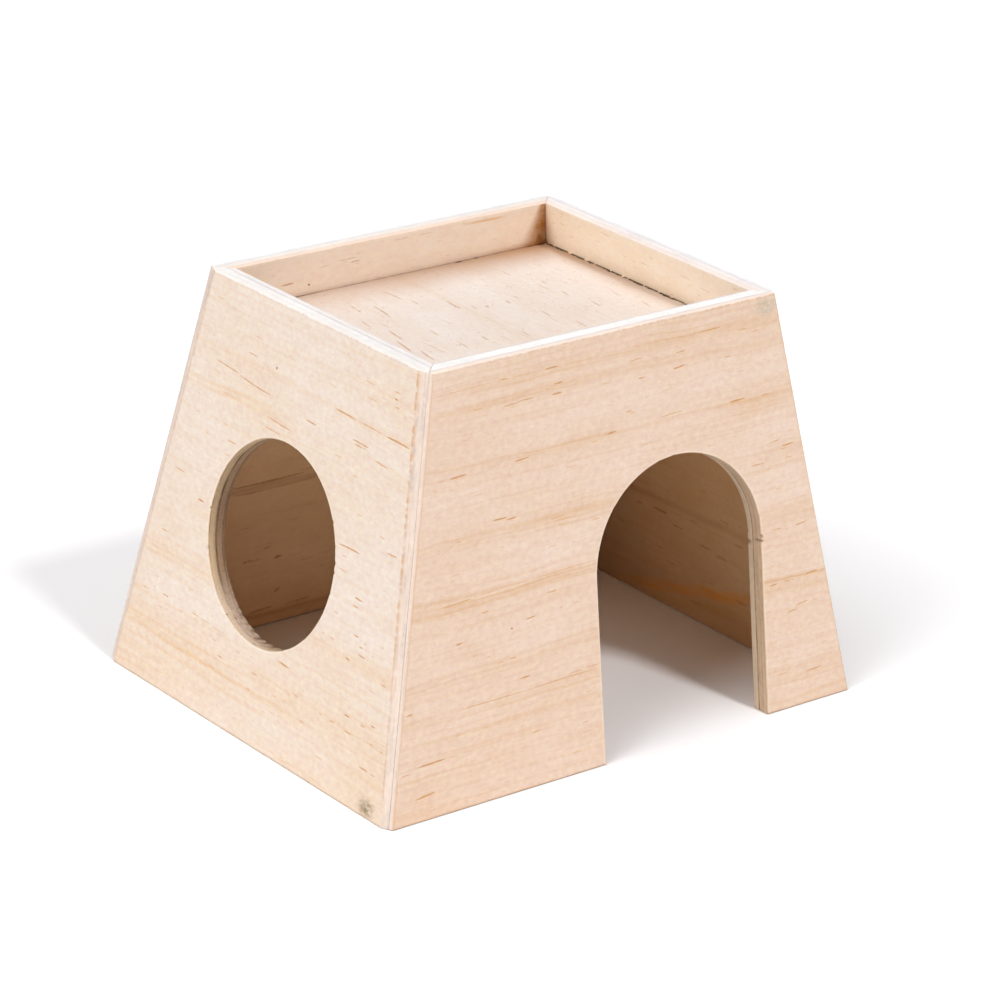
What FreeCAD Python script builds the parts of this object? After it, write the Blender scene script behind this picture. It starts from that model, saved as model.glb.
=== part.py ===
import FreeCAD, Part
import os
import Sketcher

# A small open-bottomed house for a pet: four leaning walls, mitred at the
# corners, and a flat board let in between them below the rim. +Z is up, +X
# runs along the wall with the arched door, whose outer face looks towards -Y.
# The origin is the middle of the footprint, on the surface it stands on.

doc = FreeCAD.newDocument("pet_house")

# ---------------------------------------------------------------- dimensions
sheet = doc.addObject("Spreadsheet::Sheet", "Sizes")
sheet.Label = "Sizes"
SIZES = [
    ("footLength", 134.0, "outer length at the foot, along X"),
    ("footDepth", 110.4, "outer depth at the foot, along Y"),
    ("rimLength", 98.2, "outer length at the rim, along X"),
    ("rimDepth", 83.2, "outer depth at the rim, along Y"),
    ("height", 97.0, "from the surface to the level rim"),
    ("boardThick", 4.8, "thickness of the sheet, square to its face"),
    ("arrisShort", 3.0, "sanded corner, leg on the short walls"),
    ("arrisLong", 1.3, "sanded corner, leg on the long walls"),
    ("doorCentre", 17.3, "door centre line, along X from the middle"),
    ("doorRadius", 23.8, "half the door width and the radius of its arch"),
    ("doorSpring", 42.8, "arch centre, up the face from the foot"),
    ("holeOffset", 1.7, "round hole centre, along Y from the middle"),
    ("holeRadius", 23.5, "round hole"),
    ("holeRise", 45.9, "round hole centre, up the face from the foot"),
    ("trayTop", 86.5, "top face of the let-in board above the surface"),
    ("trayGap", 0.3, "glue gap between that board and the right wall"),
]
for row, (alias, value, note) in enumerate(SIZES, start=1):
    sheet.set("A%d" % row, alias)
    sheet.set("B%d" % row, "%g" % value)
    sheet.set("C%d" % row, note)
    sheet.setAlias("B%d" % row, alias)
doc.recompute()

# Words used again and again in the bound sizes. The horizontal thickness of a
# leaning wall is its thickness over the cosine of its lean.
LEAN_X = "atan((Sizes.footLength - Sizes.rimLength) / 2 / Sizes.height)"
LEAN_Y = "atan((Sizes.footDepth - Sizes.rimDepth) / 2 / Sizes.height)"
TX = "Sizes.boardThick / cos(%s)" % LEAN_X
TY = "Sizes.boardThick / cos(%s)" % LEAN_Y
# The mitre runs, in plan, from the sharp outer corner to the sharp inner one.
MITRE = "atan((%s) / (%s))" % (TX, TY)
# The sanded corner crosses the sharp one at this angle in plan.
SANDED = "atan(Sizes.arrisLong / Sizes.arrisShort)"
SPARE = 10.0


def half_length(z_words):
    return ("(Sizes.footLength / 2 - (%s) * (Sizes.footLength - Sizes.rimLength)"
            " / 2 / Sizes.height)" % z_words)


def half_depth(z_words):
    return ("(Sizes.footDepth / 2 - (%s) * (Sizes.footDepth - Sizes.rimDepth)"
            " / 2 / Sizes.height)" % z_words)


def sheet_value(alias):
    return float(getattr(sheet, alias))


def origin_plane(body, role):
    for feature in body.Origin.OriginFeatures:
        if feature.Role == role:
            return feature
    raise RuntimeError("no plane " + role)


def new_body(name):
    body = doc.addObject("PartDesign::Body", name)
    body.Label = name
    return body


def new_sketch(body, name, role):
    sketch = body.newObject("Sketcher::SketchObject", name)
    sketch.AttachmentSupport = [(origin_plane(body, role), "")]
    sketch.MapMode = "FlatFace"
    sketch.Visibility = False
    return sketch


def turn_sketch(sketch, axis, angle_words):
    """Turns a sketch about one of its own axes by an angle from the sheet."""
    sketch.AttachmentOffset = FreeCAD.Placement(
        FreeCAD.Vector(0, 0, 0), FreeCAD.Rotation(FreeCAD.Vector(*axis), 1))
    for letter, value in zip("xyz", axis):
        sketch.setExpression("AttachmentOffset.Rotation.Axis." + letter, "%d" % value)
    sketch.setExpression("AttachmentOffset.Rotation.Angle", angle_words)


def closed_outline(sketch, points):
    """Straight closed outline. Each point is (x sign, x words, y sign, y words),
    measured from the sketch's origin, and every size is bound to the sheet."""
    first = sketch.GeometryCount
    count = len(points)
    sizes = [(sx * value_of(xw), sy * value_of(yw)) for sx, xw, sy, yw in points]
    for i in range(count):
        a, b = sizes[i], sizes[(i + 1) % count]
        sketch.addGeometry(Part.LineSegment(
            FreeCAD.Vector(a[0], a[1], 0), FreeCAD.Vector(b[0], b[1], 0)), False)
    for i in range(count):
        sketch.addConstraint(Sketcher.Constraint(
            "Coincident", first + i, 2, first + (i + 1) % count, 1))
    for i, (sx, xw, sy, yw) in enumerate(points):
        for axis, sign, words in (("X", sx, xw), ("Y", sy, yw)):
            guess = value_of(words)
            if guess == 0:
                item = ("PointOnObject", first + i, 1, -1 if axis == "Y" else -2)
                sketch.addConstraint(Sketcher.Constraint(*item))
                continue
            ends = (-1, 1, first + i, 1) if sign > 0 else (first + i, 1, -1, 1)
            index = sketch.addConstraint(Sketcher.Constraint(
                "Distance" + axis, ends[0], ends[1], ends[2], ends[3], guess))
            tag = "p%d%s" % (first + i, axis.lower())
            sketch.renameConstraint(index, tag)
            sketch.setExpression("Constraints." + tag, words)


def value_of(words):
    value = sheet.evalExpression(words)
    return float(getattr(value, "Value", value))


def finish_feature(feature, body, name, before, grows):
    doc.recompute()
    change = body.Shape.Volume - before
    print("%-16s %+.1f mm3" % (name, change))
    if (change < 1.0) if grows else (change > -0.05):
        raise RuntimeError(name + " changes nothing")
    return feature


def pad_along(body, name, sketch, length_words):
    pad = body.newObject("PartDesign::Pad", name)
    pad.Profile = sketch
    pad.SideType = "Symmetric"
    pad.setExpression("Length", length_words)
    return finish_feature(pad, body, name, 0.0, True)


def through_pocket(body, name, sketch):
    before = body.Shape.Volume
    pocket = body.newObject("PartDesign::Pocket", name)
    pocket.Profile = sketch
    pocket.SideType = "Symmetric"
    pocket.Type = "ThroughAll"
    return finish_feature(pocket, body, name, before, False)


def end_cut(body, name, angle_words, line_words, line_sign, keep_sign):
    """Cuts one end of a wall along a plane that leans with the corner of the
    house. The sketch stands upright, square to the plane's level direction,
    so the plane shows in it as one straight line."""
    sketch = new_sketch(body, name + "_line", "XZ_Plane")
    turn_sketch(sketch, (0, 1, 0), angle_words)
    low, top = "-%g" % SPARE, "Sizes.height + %g" % SPARE
    far = "Sizes.footLength * 1.5"
    closed_outline(sketch, [
        (line_sign, line_words(low), -1, "%g" % SPARE),
        (line_sign, line_words(top), 1, top),
        (-keep_sign, far, 1, top),
        (-keep_sign, far, -1, "%g" % SPARE),
    ])
    return through_pocket(body, name, sketch)


def mitre_line(z_words):
    return ("%s * cos(%s) - %s * sin(%s)"
            % (half_length(z_words), MITRE, half_depth(z_words), MITRE))


def sanded_line(z_words):
    return ("(%s - Sizes.arrisLong) * cos(%s) + %s * sin(%s)"
            % (half_length(z_words), SANDED, half_depth(z_words), SANDED))


def make_wall(name, wall):
    """A leaning board with level top and bottom edges, mitred at both ends,
    and with the sharp corner of the house sanded off."""
    body = new_body(name)
    long_wall = wall in ("front", "back")
    near = wall in ("front", "left")
    sign = -1 if near else 1
    half, thick = (half_depth, TY) if long_wall else (half_length, TX)
    section = new_sketch(body, name + "_section", "YZ_Plane" if long_wall else "XZ_Plane")
    closed_outline(section, [
        (sign, half("0"), 1, "0"),
        (sign, half("0") + " - " + thick, 1, "0"),
        (sign, half("Sizes.height") + " - " + thick, 1, "Sizes.height"),
        (sign, half("Sizes.height"), 1, "Sizes.height"),
    ])
    pad_along(body, name + "_board", section,
              "Sizes.footLength" if long_wall else "Sizes.footDepth")
    # the end at -X of a long wall, or the end at -Y of a short one
    if long_wall:
        turn = "" if wall == "back" else "-"
        mitre = end_cut(body, name + "_mitre", turn + MITRE, mitre_line, -1, 1)
        turn = "-" if wall == "back" else ""
        sanded = end_cut(body, name + "_sanded", turn + SANDED, sanded_line, -1, 1)
        plane = "YZ_Plane"
    else:
        turn = "-" if wall == "left" else ""
        mitre = end_cut(body, name + "_mitre", turn + MITRE, mitre_line, sign, sign)
        turn = "" if wall == "left" else "-"
        sanded = end_cut(body, name + "_sanded", turn + SANDED, sanded_line, sign, -sign)
        plane = "XZ_Plane"
    before = body.Shape.Volume
    mirrored = body.newObject("PartDesign::Mirrored", name + "_other_end")
    mirrored.Originals = [mitre, sanded]
    mirrored.MirrorPlane = (origin_plane(body, plane), [""])
    body.Tip = mirrored
    finish_feature(mirrored, body, name + "_other_end", before, False)
    return body


# ------------------------------------------------------------- front panel
front = make_wall("front_panel", "front")

# The arched door is cut square through the leaning board, in a sketch that
# lies on its outer face: straight sides from the foot, then a half circle.
door = new_sketch(front, "door_outline", "XZ_Plane")
turn_sketch(door, (1, 0, 0), "-" + LEAN_Y)
door.setExpression("AttachmentOffset.Base.z", "Sizes.footDepth / 2 * 1 mm")
c, r, v = sheet_value("doorCentre"), sheet_value("doorRadius"), sheet_value("doorSpring")
low = -3.0
door.addGeometry([
    Part.LineSegment(FreeCAD.Vector(c + r, low, 0), FreeCAD.Vector(c + r, v, 0)),
    Part.ArcOfCircle(Part.Circle(FreeCAD.Vector(c, v, 0), FreeCAD.Vector(0, 0, 1), r),
                     0.0, 3.141592653589793),
    Part.LineSegment(FreeCAD.Vector(c - r, v, 0), FreeCAD.Vector(c - r, low, 0)),
    Part.LineSegment(FreeCAD.Vector(c - r, low, 0), FreeCAD.Vector(c + r, low, 0)),
], False)
for item in (("Tangent", 0, 2, 1, 1), ("Tangent", 1, 2, 2, 1),
             ("Coincident", 2, 2, 3, 1), ("Coincident", 3, 2, 0, 1),
             ("Vertical", 0), ("Vertical", 2), ("Horizontal", 3)):
    door.addConstraint(Sketcher.Constraint(*item))
for tag, item, words in (
        ("radius", ("Radius", 1, r), "Sizes.doorRadius"),
        ("centre", ("DistanceX", -1, 1, 1, 3, c), "Sizes.doorCentre"),
        ("spring", ("DistanceY", -1, 1, 1, 3, v), "Sizes.doorSpring"),
        ("below", ("DistanceY", 3, 2, -1, 1, -low), "3")):
    index = door.addConstraint(Sketcher.Constraint(*item))
    door.renameConstraint(index, tag)
    door.setExpression("Constraints." + tag, words)
doc.recompute()
through_pocket(front, "door_cut", door)

# -------------------------------------------------------------- left panel
left = make_wall("left_panel", "left")

# The round entry hole, also cut square through its leaning board.
hole = new_sketch(left, "hole_outline", "YZ_Plane")
turn_sketch(hole, (1, 0, 0), LEAN_X)
hole.setExpression("AttachmentOffset.Base.z", "-Sizes.footLength / 2 * 1 mm")
hole.addGeometry(Part.Circle(
    FreeCAD.Vector(sheet_value("holeOffset"), sheet_value("holeRise"), 0),
    FreeCAD.Vector(0, 0, 1), sheet_value("holeRadius")), False)
for tag, item, words in (
        ("radius", ("Radius", 0, sheet_value("holeRadius")), "Sizes.holeRadius"),
        ("offset", ("DistanceX", -1, 1, 0, 3, sheet_value("holeOffset")), "Sizes.holeOffset"),
        ("rise", ("DistanceY", -1, 1, 0, 3, sheet_value("holeRise")), "Sizes.holeRise")):
    index = hole.addConstraint(Sketcher.Constraint(*item))
    hole.renameConstraint(index, tag)
    hole.setExpression("Constraints." + tag, words)
doc.recompute()
through_pocket(left, "hole_cut", hole)

# ------------------------------------------------------ back and right panels
back = make_wall("back_panel", "back")
right = make_wall("right_panel", "right")

# ------------------------------------------------------------------ tray panel
# A rectangle with bevelled edges, pushed up between the leaning walls until
# it wedges. It touches three walls, with a thin glue gap at the right one.
tray = new_body("tray_panel")
Z_TOP = "Sizes.trayTop"
Z_UNDER = "(Sizes.trayTop - Sizes.boardThick)"


def room_x(z_words):
    return half_length(z_words) + " - " + TX


def room_y(z_words):
    return half_depth(z_words) + " - " + TY


section = new_sketch(tray, "tray_section", "XZ_Plane")
closed_outline(section, [
    (-1, room_x(Z_UNDER), 1, Z_UNDER),
    (1, room_x(Z_UNDER) + " - Sizes.trayGap", 1, Z_UNDER),
    (1, room_x(Z_TOP) + " - Sizes.trayGap", 1, Z_TOP),
    (-1, room_x(Z_TOP), 1, Z_TOP),
])
pad_along(tray, "tray_board", section, "Sizes.footDepth")

bevel = new_sketch(tray, "tray_bevel_line", "YZ_Plane")
z_low, z_high = Z_UNDER + " - 1", Z_TOP + " + 1"
closed_outline(bevel, [
    (-1, room_y(z_low), 1, z_low),
    (-1, room_y(z_high), 1, z_high),
    (-1, "Sizes.footDepth", 1, z_high),
    (-1, "Sizes.footDepth", 1, z_low),
])
cut = through_pocket(tray, "tray_bevel", bevel)
before = tray.Shape.Volume
other = tray.newObject("PartDesign::Mirrored", "tray_other_bevel")
other.Originals = [cut]
other.MirrorPlane = (origin_plane(tray, "XZ_Plane"), [""])
tray.Tip = other
finish_feature(other, tray, "tray_other_bevel", before, False)

# ---------------------------------------------------------------- hand over
bodies = [front, back, left, right, tray]
for body in bodies:
    body.Placement = FreeCAD.Placement(FreeCAD.Vector(0, 0, 0), FreeCAD.Rotation())
doc.recompute()

for obj in doc.Objects:
    if "Invalid" in obj.State or "Error" in obj.State:
        raise RuntimeError("%s is %s" % (obj.Name, obj.State))
    if obj.isDerivedFrom("Sketcher::SketchObject") and not obj.FullyConstrained:
        raise RuntimeError("%s is not fully constrained" % obj.Name)

os.makedirs("parts", exist_ok=True)
for body in bodies:
    shape = body.Shape
    if shape.isNull() or not shape.isValid() or len(shape.Solids) != 1:
        raise RuntimeError("%s has no valid single solid" % body.Label)
    flat = sum(1 for f in shape.Faces if f.Surface.TypeId == "Part::GeomPlane")
    box = shape.BoundBox
    print("%-12s vol %.1f faces %d (%d flat) x %.2f..%.2f y %.2f..%.2f z %.2f..%.2f" % (
        body.Label, shape.Volume, len(shape.Faces), flat,
        box.XMin, box.XMax, box.YMin, box.YMax, box.ZMin, box.ZMax))
    shape.exportStep("parts/%s.step" % body.Label)

for i, a in enumerate(bodies):
    for b in bodies[i + 1:]:
        shared = a.Shape.common(b.Shape).Volume
        if shared > 1e-3:
            print("overlap %s %s %.4f mm3" % (a.Label, b.Label, shared))
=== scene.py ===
import math

import bmesh
import bpy
import numpy as np
from mathutils import Matrix, Vector
from mathutils.geometry import delaunay_2d_cdt


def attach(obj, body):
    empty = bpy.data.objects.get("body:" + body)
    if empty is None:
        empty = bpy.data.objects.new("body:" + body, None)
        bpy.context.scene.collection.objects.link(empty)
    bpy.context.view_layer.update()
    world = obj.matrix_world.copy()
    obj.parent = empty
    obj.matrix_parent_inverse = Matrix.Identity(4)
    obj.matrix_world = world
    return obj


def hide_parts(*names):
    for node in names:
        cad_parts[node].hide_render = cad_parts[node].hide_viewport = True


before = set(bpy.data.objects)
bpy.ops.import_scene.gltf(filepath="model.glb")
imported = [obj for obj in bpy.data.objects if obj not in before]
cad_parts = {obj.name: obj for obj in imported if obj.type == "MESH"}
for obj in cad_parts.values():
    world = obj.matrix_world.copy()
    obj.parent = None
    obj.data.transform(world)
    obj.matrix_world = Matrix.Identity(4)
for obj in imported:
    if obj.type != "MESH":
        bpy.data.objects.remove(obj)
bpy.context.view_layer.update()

# ------------------------------------------------------------------ sizes, in millimetres
HEIGHT = 97.0                       # rim above the surface it stands on
FOOT_X, FOOT_Y = 134.0, 110.4       # outline on that surface
RIM_X, RIM_Y = 98.2, 83.2           # outline at the rim
BOARD = 4.8                         # three plies
DOOR_U, DOOR_R, DOOR_V = 17.3, 23.8, 42.8    # arched door: centre line, radius, height of the spring
HOLE_U, HOLE_R, HOLE_V = -1.7, 23.5, 45.9    # round hole, on the wall at -X, whose U runs towards -Y
TRAY_Z = 86.5                       # upper face of the tray board
LEAN_X = math.atan((FOOT_X - RIM_X) / 2 / HEIGHT)    # walls at -X and +X
LEAN_Y = math.atan((FOOT_Y - RIM_Y) / 2 / HEIGHT)    # walls at -Y and +Y
THICK_X = BOARD / math.cos(LEAN_X)  # level thickness of the walls at -X and +X
THICK_Y = BOARD / math.cos(LEAN_Y)
SAND_LONG = 1.3                     # width of the sanded corner on the long walls
GLUE_1, GLUE_2 = 0.30 * BOARD, 0.67 * BOARD  # depth of the two glue lines

HOLE_FACE_MARKS = [
    (-36.3, 93.4, -32.2, 93.3, 0.27, 0.35), (-19.7, 88.9, -16.1, 88.9, 0.27, 0.30), (-43.2, 84.9, -39.8, 84.8, 0.27, 0.55), (-21.3, 84.7, -17.3, 84.6, 0.27, 0.60),
    (20.7, 91.3, 24.8, 91.1, 0.27, 0.35), (31.2, 91.9, 34.2, 91.9, 0.27, 0.50), (31.8, 90.3, 33.5, 90.3, 0.36, 0.80), (32.5, 88.8, 34.7, 88.7, 0.27, 0.50),
    (22.1, 88.0, 27.0, 87.9, 0.36, 0.25), (35.7, 87.7, 37.9, 87.6, 0.27, 0.30), (12.4, 82.2, 20.9, 81.9, 0.32, 0.75), (20.9, 81.9, 30.8, 81.7, 0.27, 0.45),
    (30.8, 81.7, 40.3, 81.6, 0.36, 0.80), (-32.7, 79.5, -22.7, 78.9, 0.27, 0.60), (-23.2, 78.8, -10.0, 77.8, 0.27, 0.65), (-43.8, 78.0, -40.0, 77.9, 0.45, 0.75),
    (3.0, 76.6, 7.6, 76.5, 0.32, 0.60), (20.1, 77.6, 26.5, 77.4, 0.36, 0.70), (20.9, 76.8, 25.8, 76.8, 0.27, 0.50), (29.0, 75.5, 34.1, 75.2, 0.32, 0.60),
    (14.5, 72.5, 18.1, 72.5, 0.27, 0.30), (-11.2, 73.1, -0.7, 72.5, 0.27, 0.55), (-11.2, 70.6, -4.3, 70.5, 0.27, 0.45), (21.9, 70.2, 25.0, 70.0, 0.27, 0.40),
    (-23.7, 63.5, -19.4, 63.4, 0.32, 0.50), (-24.0, 60.1, -21.0, 60.1, 0.36, 0.30), (34.6, 60.5, 37.5, 60.3, 0.27, 0.45), (37.9, 57.8, 42.5, 58.0, 0.32, 0.60),
    (20.3, 55.5, 27.2, 55.0, 0.36, 0.75), (21.5, 54.3, 30.0, 54.5, 0.36, 0.70), (23.1, 52.3, 26.0, 52.3, 0.27, 0.35), (41.5, 49.2, 45.2, 49.2, 0.36, 0.85),
    (22.7, 49.2, 26.5, 49.1, 0.27, 0.50), (-45.4, 52.8, -41.7, 52.8, 0.36, 0.55), (-41.3, 51.4, -36.8, 51.2, 0.32, 0.55), (-46.5, 50.1, -44.1, 50.1, 0.27, 0.35),
    (-47.1, 45.5, -44.6, 45.4, 0.27, 0.40), (-31.0, 47.1, -27.7, 47.0, 0.36, 0.85), (-26.6, 47.2, -25.2, 47.1, 0.27, 0.30), (30.1, 44.9, 33.6, 44.8, 0.36, 0.80),
    (29.8, 43.1, 32.7, 43.0, 0.32, 0.60), (-31.2, 40.0, -28.8, 39.8, 0.27, 0.30), (-47.7, 38.6, -44.5, 38.5, 0.32, 0.60), (-42.8, 36.1, -39.6, 36.1, 0.32, 0.60),
    (44.9, 40.1, 46.9, 40.1, 0.27, 0.35), (45.3, 37.9, 47.1, 37.8, 0.32, 0.60), (32.1, 37.1, 34.5, 36.9, 0.32, 0.65), (35.9, 36.4, 37.5, 36.4, 0.27, 0.40),
    (42.0, 37.7, 43.5, 37.7, 0.27, 0.40), (34.5, 35.1, 36.4, 35.1, 0.32, 0.55), (34.4, 33.4, 37.8, 33.3, 0.32, 0.60), (30.4, 31.2, 32.9, 31.1, 0.36, 0.85),
    (43.7, 30.0, 46.5, 29.9, 0.32, 0.60), (23.8, 39.5, 26.5, 39.5, 0.27, 0.35), (23.8, 33.7, 26.5, 33.5, 0.27, 0.40), (21.1, 33.7, 22.6, 33.7, 0.27, 0.30),
    (-50.6, 32.2, -48.2, 32.2, 0.27, 0.50), (7.7, 22.0, 12.7, 21.8, 0.36, 0.80), (-42.1, 22.3, -40.8, 22.3, 0.27, 0.30), (-38.5, 21.8, -35.1, 21.7, 0.32, 0.60),
    (-46.5, 21.0, -43.4, 20.9, 0.32, 0.55), (-31.0, 20.3, -29.1, 20.3, 0.27, 0.30), (-26.4, 21.5, -22.7, 21.4, 0.32, 0.50), (-22.7, 21.3, -18.5, 21.2, 0.27, 0.30),
    (-17.9, 21.0, -14.0, 20.9, 0.27, 0.30), (33.3, 19.2, 36.4, 19.1, 0.36, 0.85), (39.3, 19.0, 41.8, 19.0, 0.32, 0.60), (43.0, 20.1, 45.2, 20.1, 0.36, 0.80),
    (-39.7, 18.5, -37.1, 18.5, 0.27, 0.50), (-36.3, 18.9, -34.4, 18.9, 0.27, 0.30), (-16.9, 18.3, -15.2, 18.3, 0.27, 0.40), (-14.6, 15.5, -11.5, 15.4, 0.32, 0.55),
    (-1.5, 16.2, 2.1, 16.1, 0.32, 0.50), (14.5, 17.0, 17.5, 16.9, 0.32, 0.50), (12.8, 16.2, 14.4, 16.2, 0.27, 0.40), (28.7, 16.0, 31.3, 16.0, 0.32, 0.60),
    (34.0, 15.8, 37.9, 15.7, 0.32, 0.60), (25.0, 16.2, 26.5, 16.1, 0.27, 0.40), (43.5, 16.2, 45.6, 16.1, 0.32, 0.50), (-1.8, 12.2, 0.0, 12.1, 0.32, 0.55),
    (7.3, 14.0, 10.2, 14.0, 0.27, 0.35), (11.2, 14.3, 13.6, 14.1, 0.27, 0.30), (18.5, 12.2, 21.0, 12.1, 0.32, 0.50), (-17.0, 12.2, -13.8, 12.1, 0.27, 0.40),
    (11.0, 11.8, 13.6, 11.8, 0.27, 0.30), (41.3, 10.1, 45.4, 10.0, 0.36, 0.65), (45.4, 9.9, 48.1, 9.8, 0.27, 0.50), (-53.5, 13.5, -50.3, 13.4, 0.32, 0.50),
    (-53.1, 15.8, -50.6, 15.7, 0.27, 0.40), (47.3, 15.8, 49.2, 15.7, 0.32, 0.55), (-7.0, 88.2, -5.0, 88.2, 0.27, 0.25), (8.8, 86.8, 12.4, 86.6, 0.27, 0.20),
    (-28.8, 73.4, -22.7, 73.2, 0.27, 0.25), (40.3, 27.4, 43.5, 27.2, 0.27, 0.30), (-37.3, 66.2, -34.4, 66.2, 0.27, 0.25), (25.8, 62.5, 28.7, 62.5, 0.27, 0.30),
    (-28.8, 26.4, -26.4, 26.4, 0.27, 0.25), (-8.2, 18.9, -5.5, 18.7, 0.27, 0.30), (3.9, 9.2, 7.1, 9.2, 0.27, 0.25), (-34.9, 9.2, -31.7, 9.0, 0.27, 0.25),
    (25.8, 6.7, 29.4, 6.7, 0.27, 0.30), (-19.1, 5.5, -16.4, 5.5, 0.27, 0.25),
]
HOLE_FACE_PITS = [(-10.0, 84.3, 0.36, 0.95), (-3.3, 89.2, 0.18, 0.30), (-40.9, 24.9, 0.18, 0.35), (31.2, 23.1, 0.18, 0.40), (-26.4, 29.8, 0.16, 0.30), (48.2, 34.6, 0.18, 0.50), (8.8, 17.7, 0.16, 0.40), (39.7, 34.6, 0.17, 0.40), (18.5, 18.9, 0.18, 0.40)]
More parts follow.
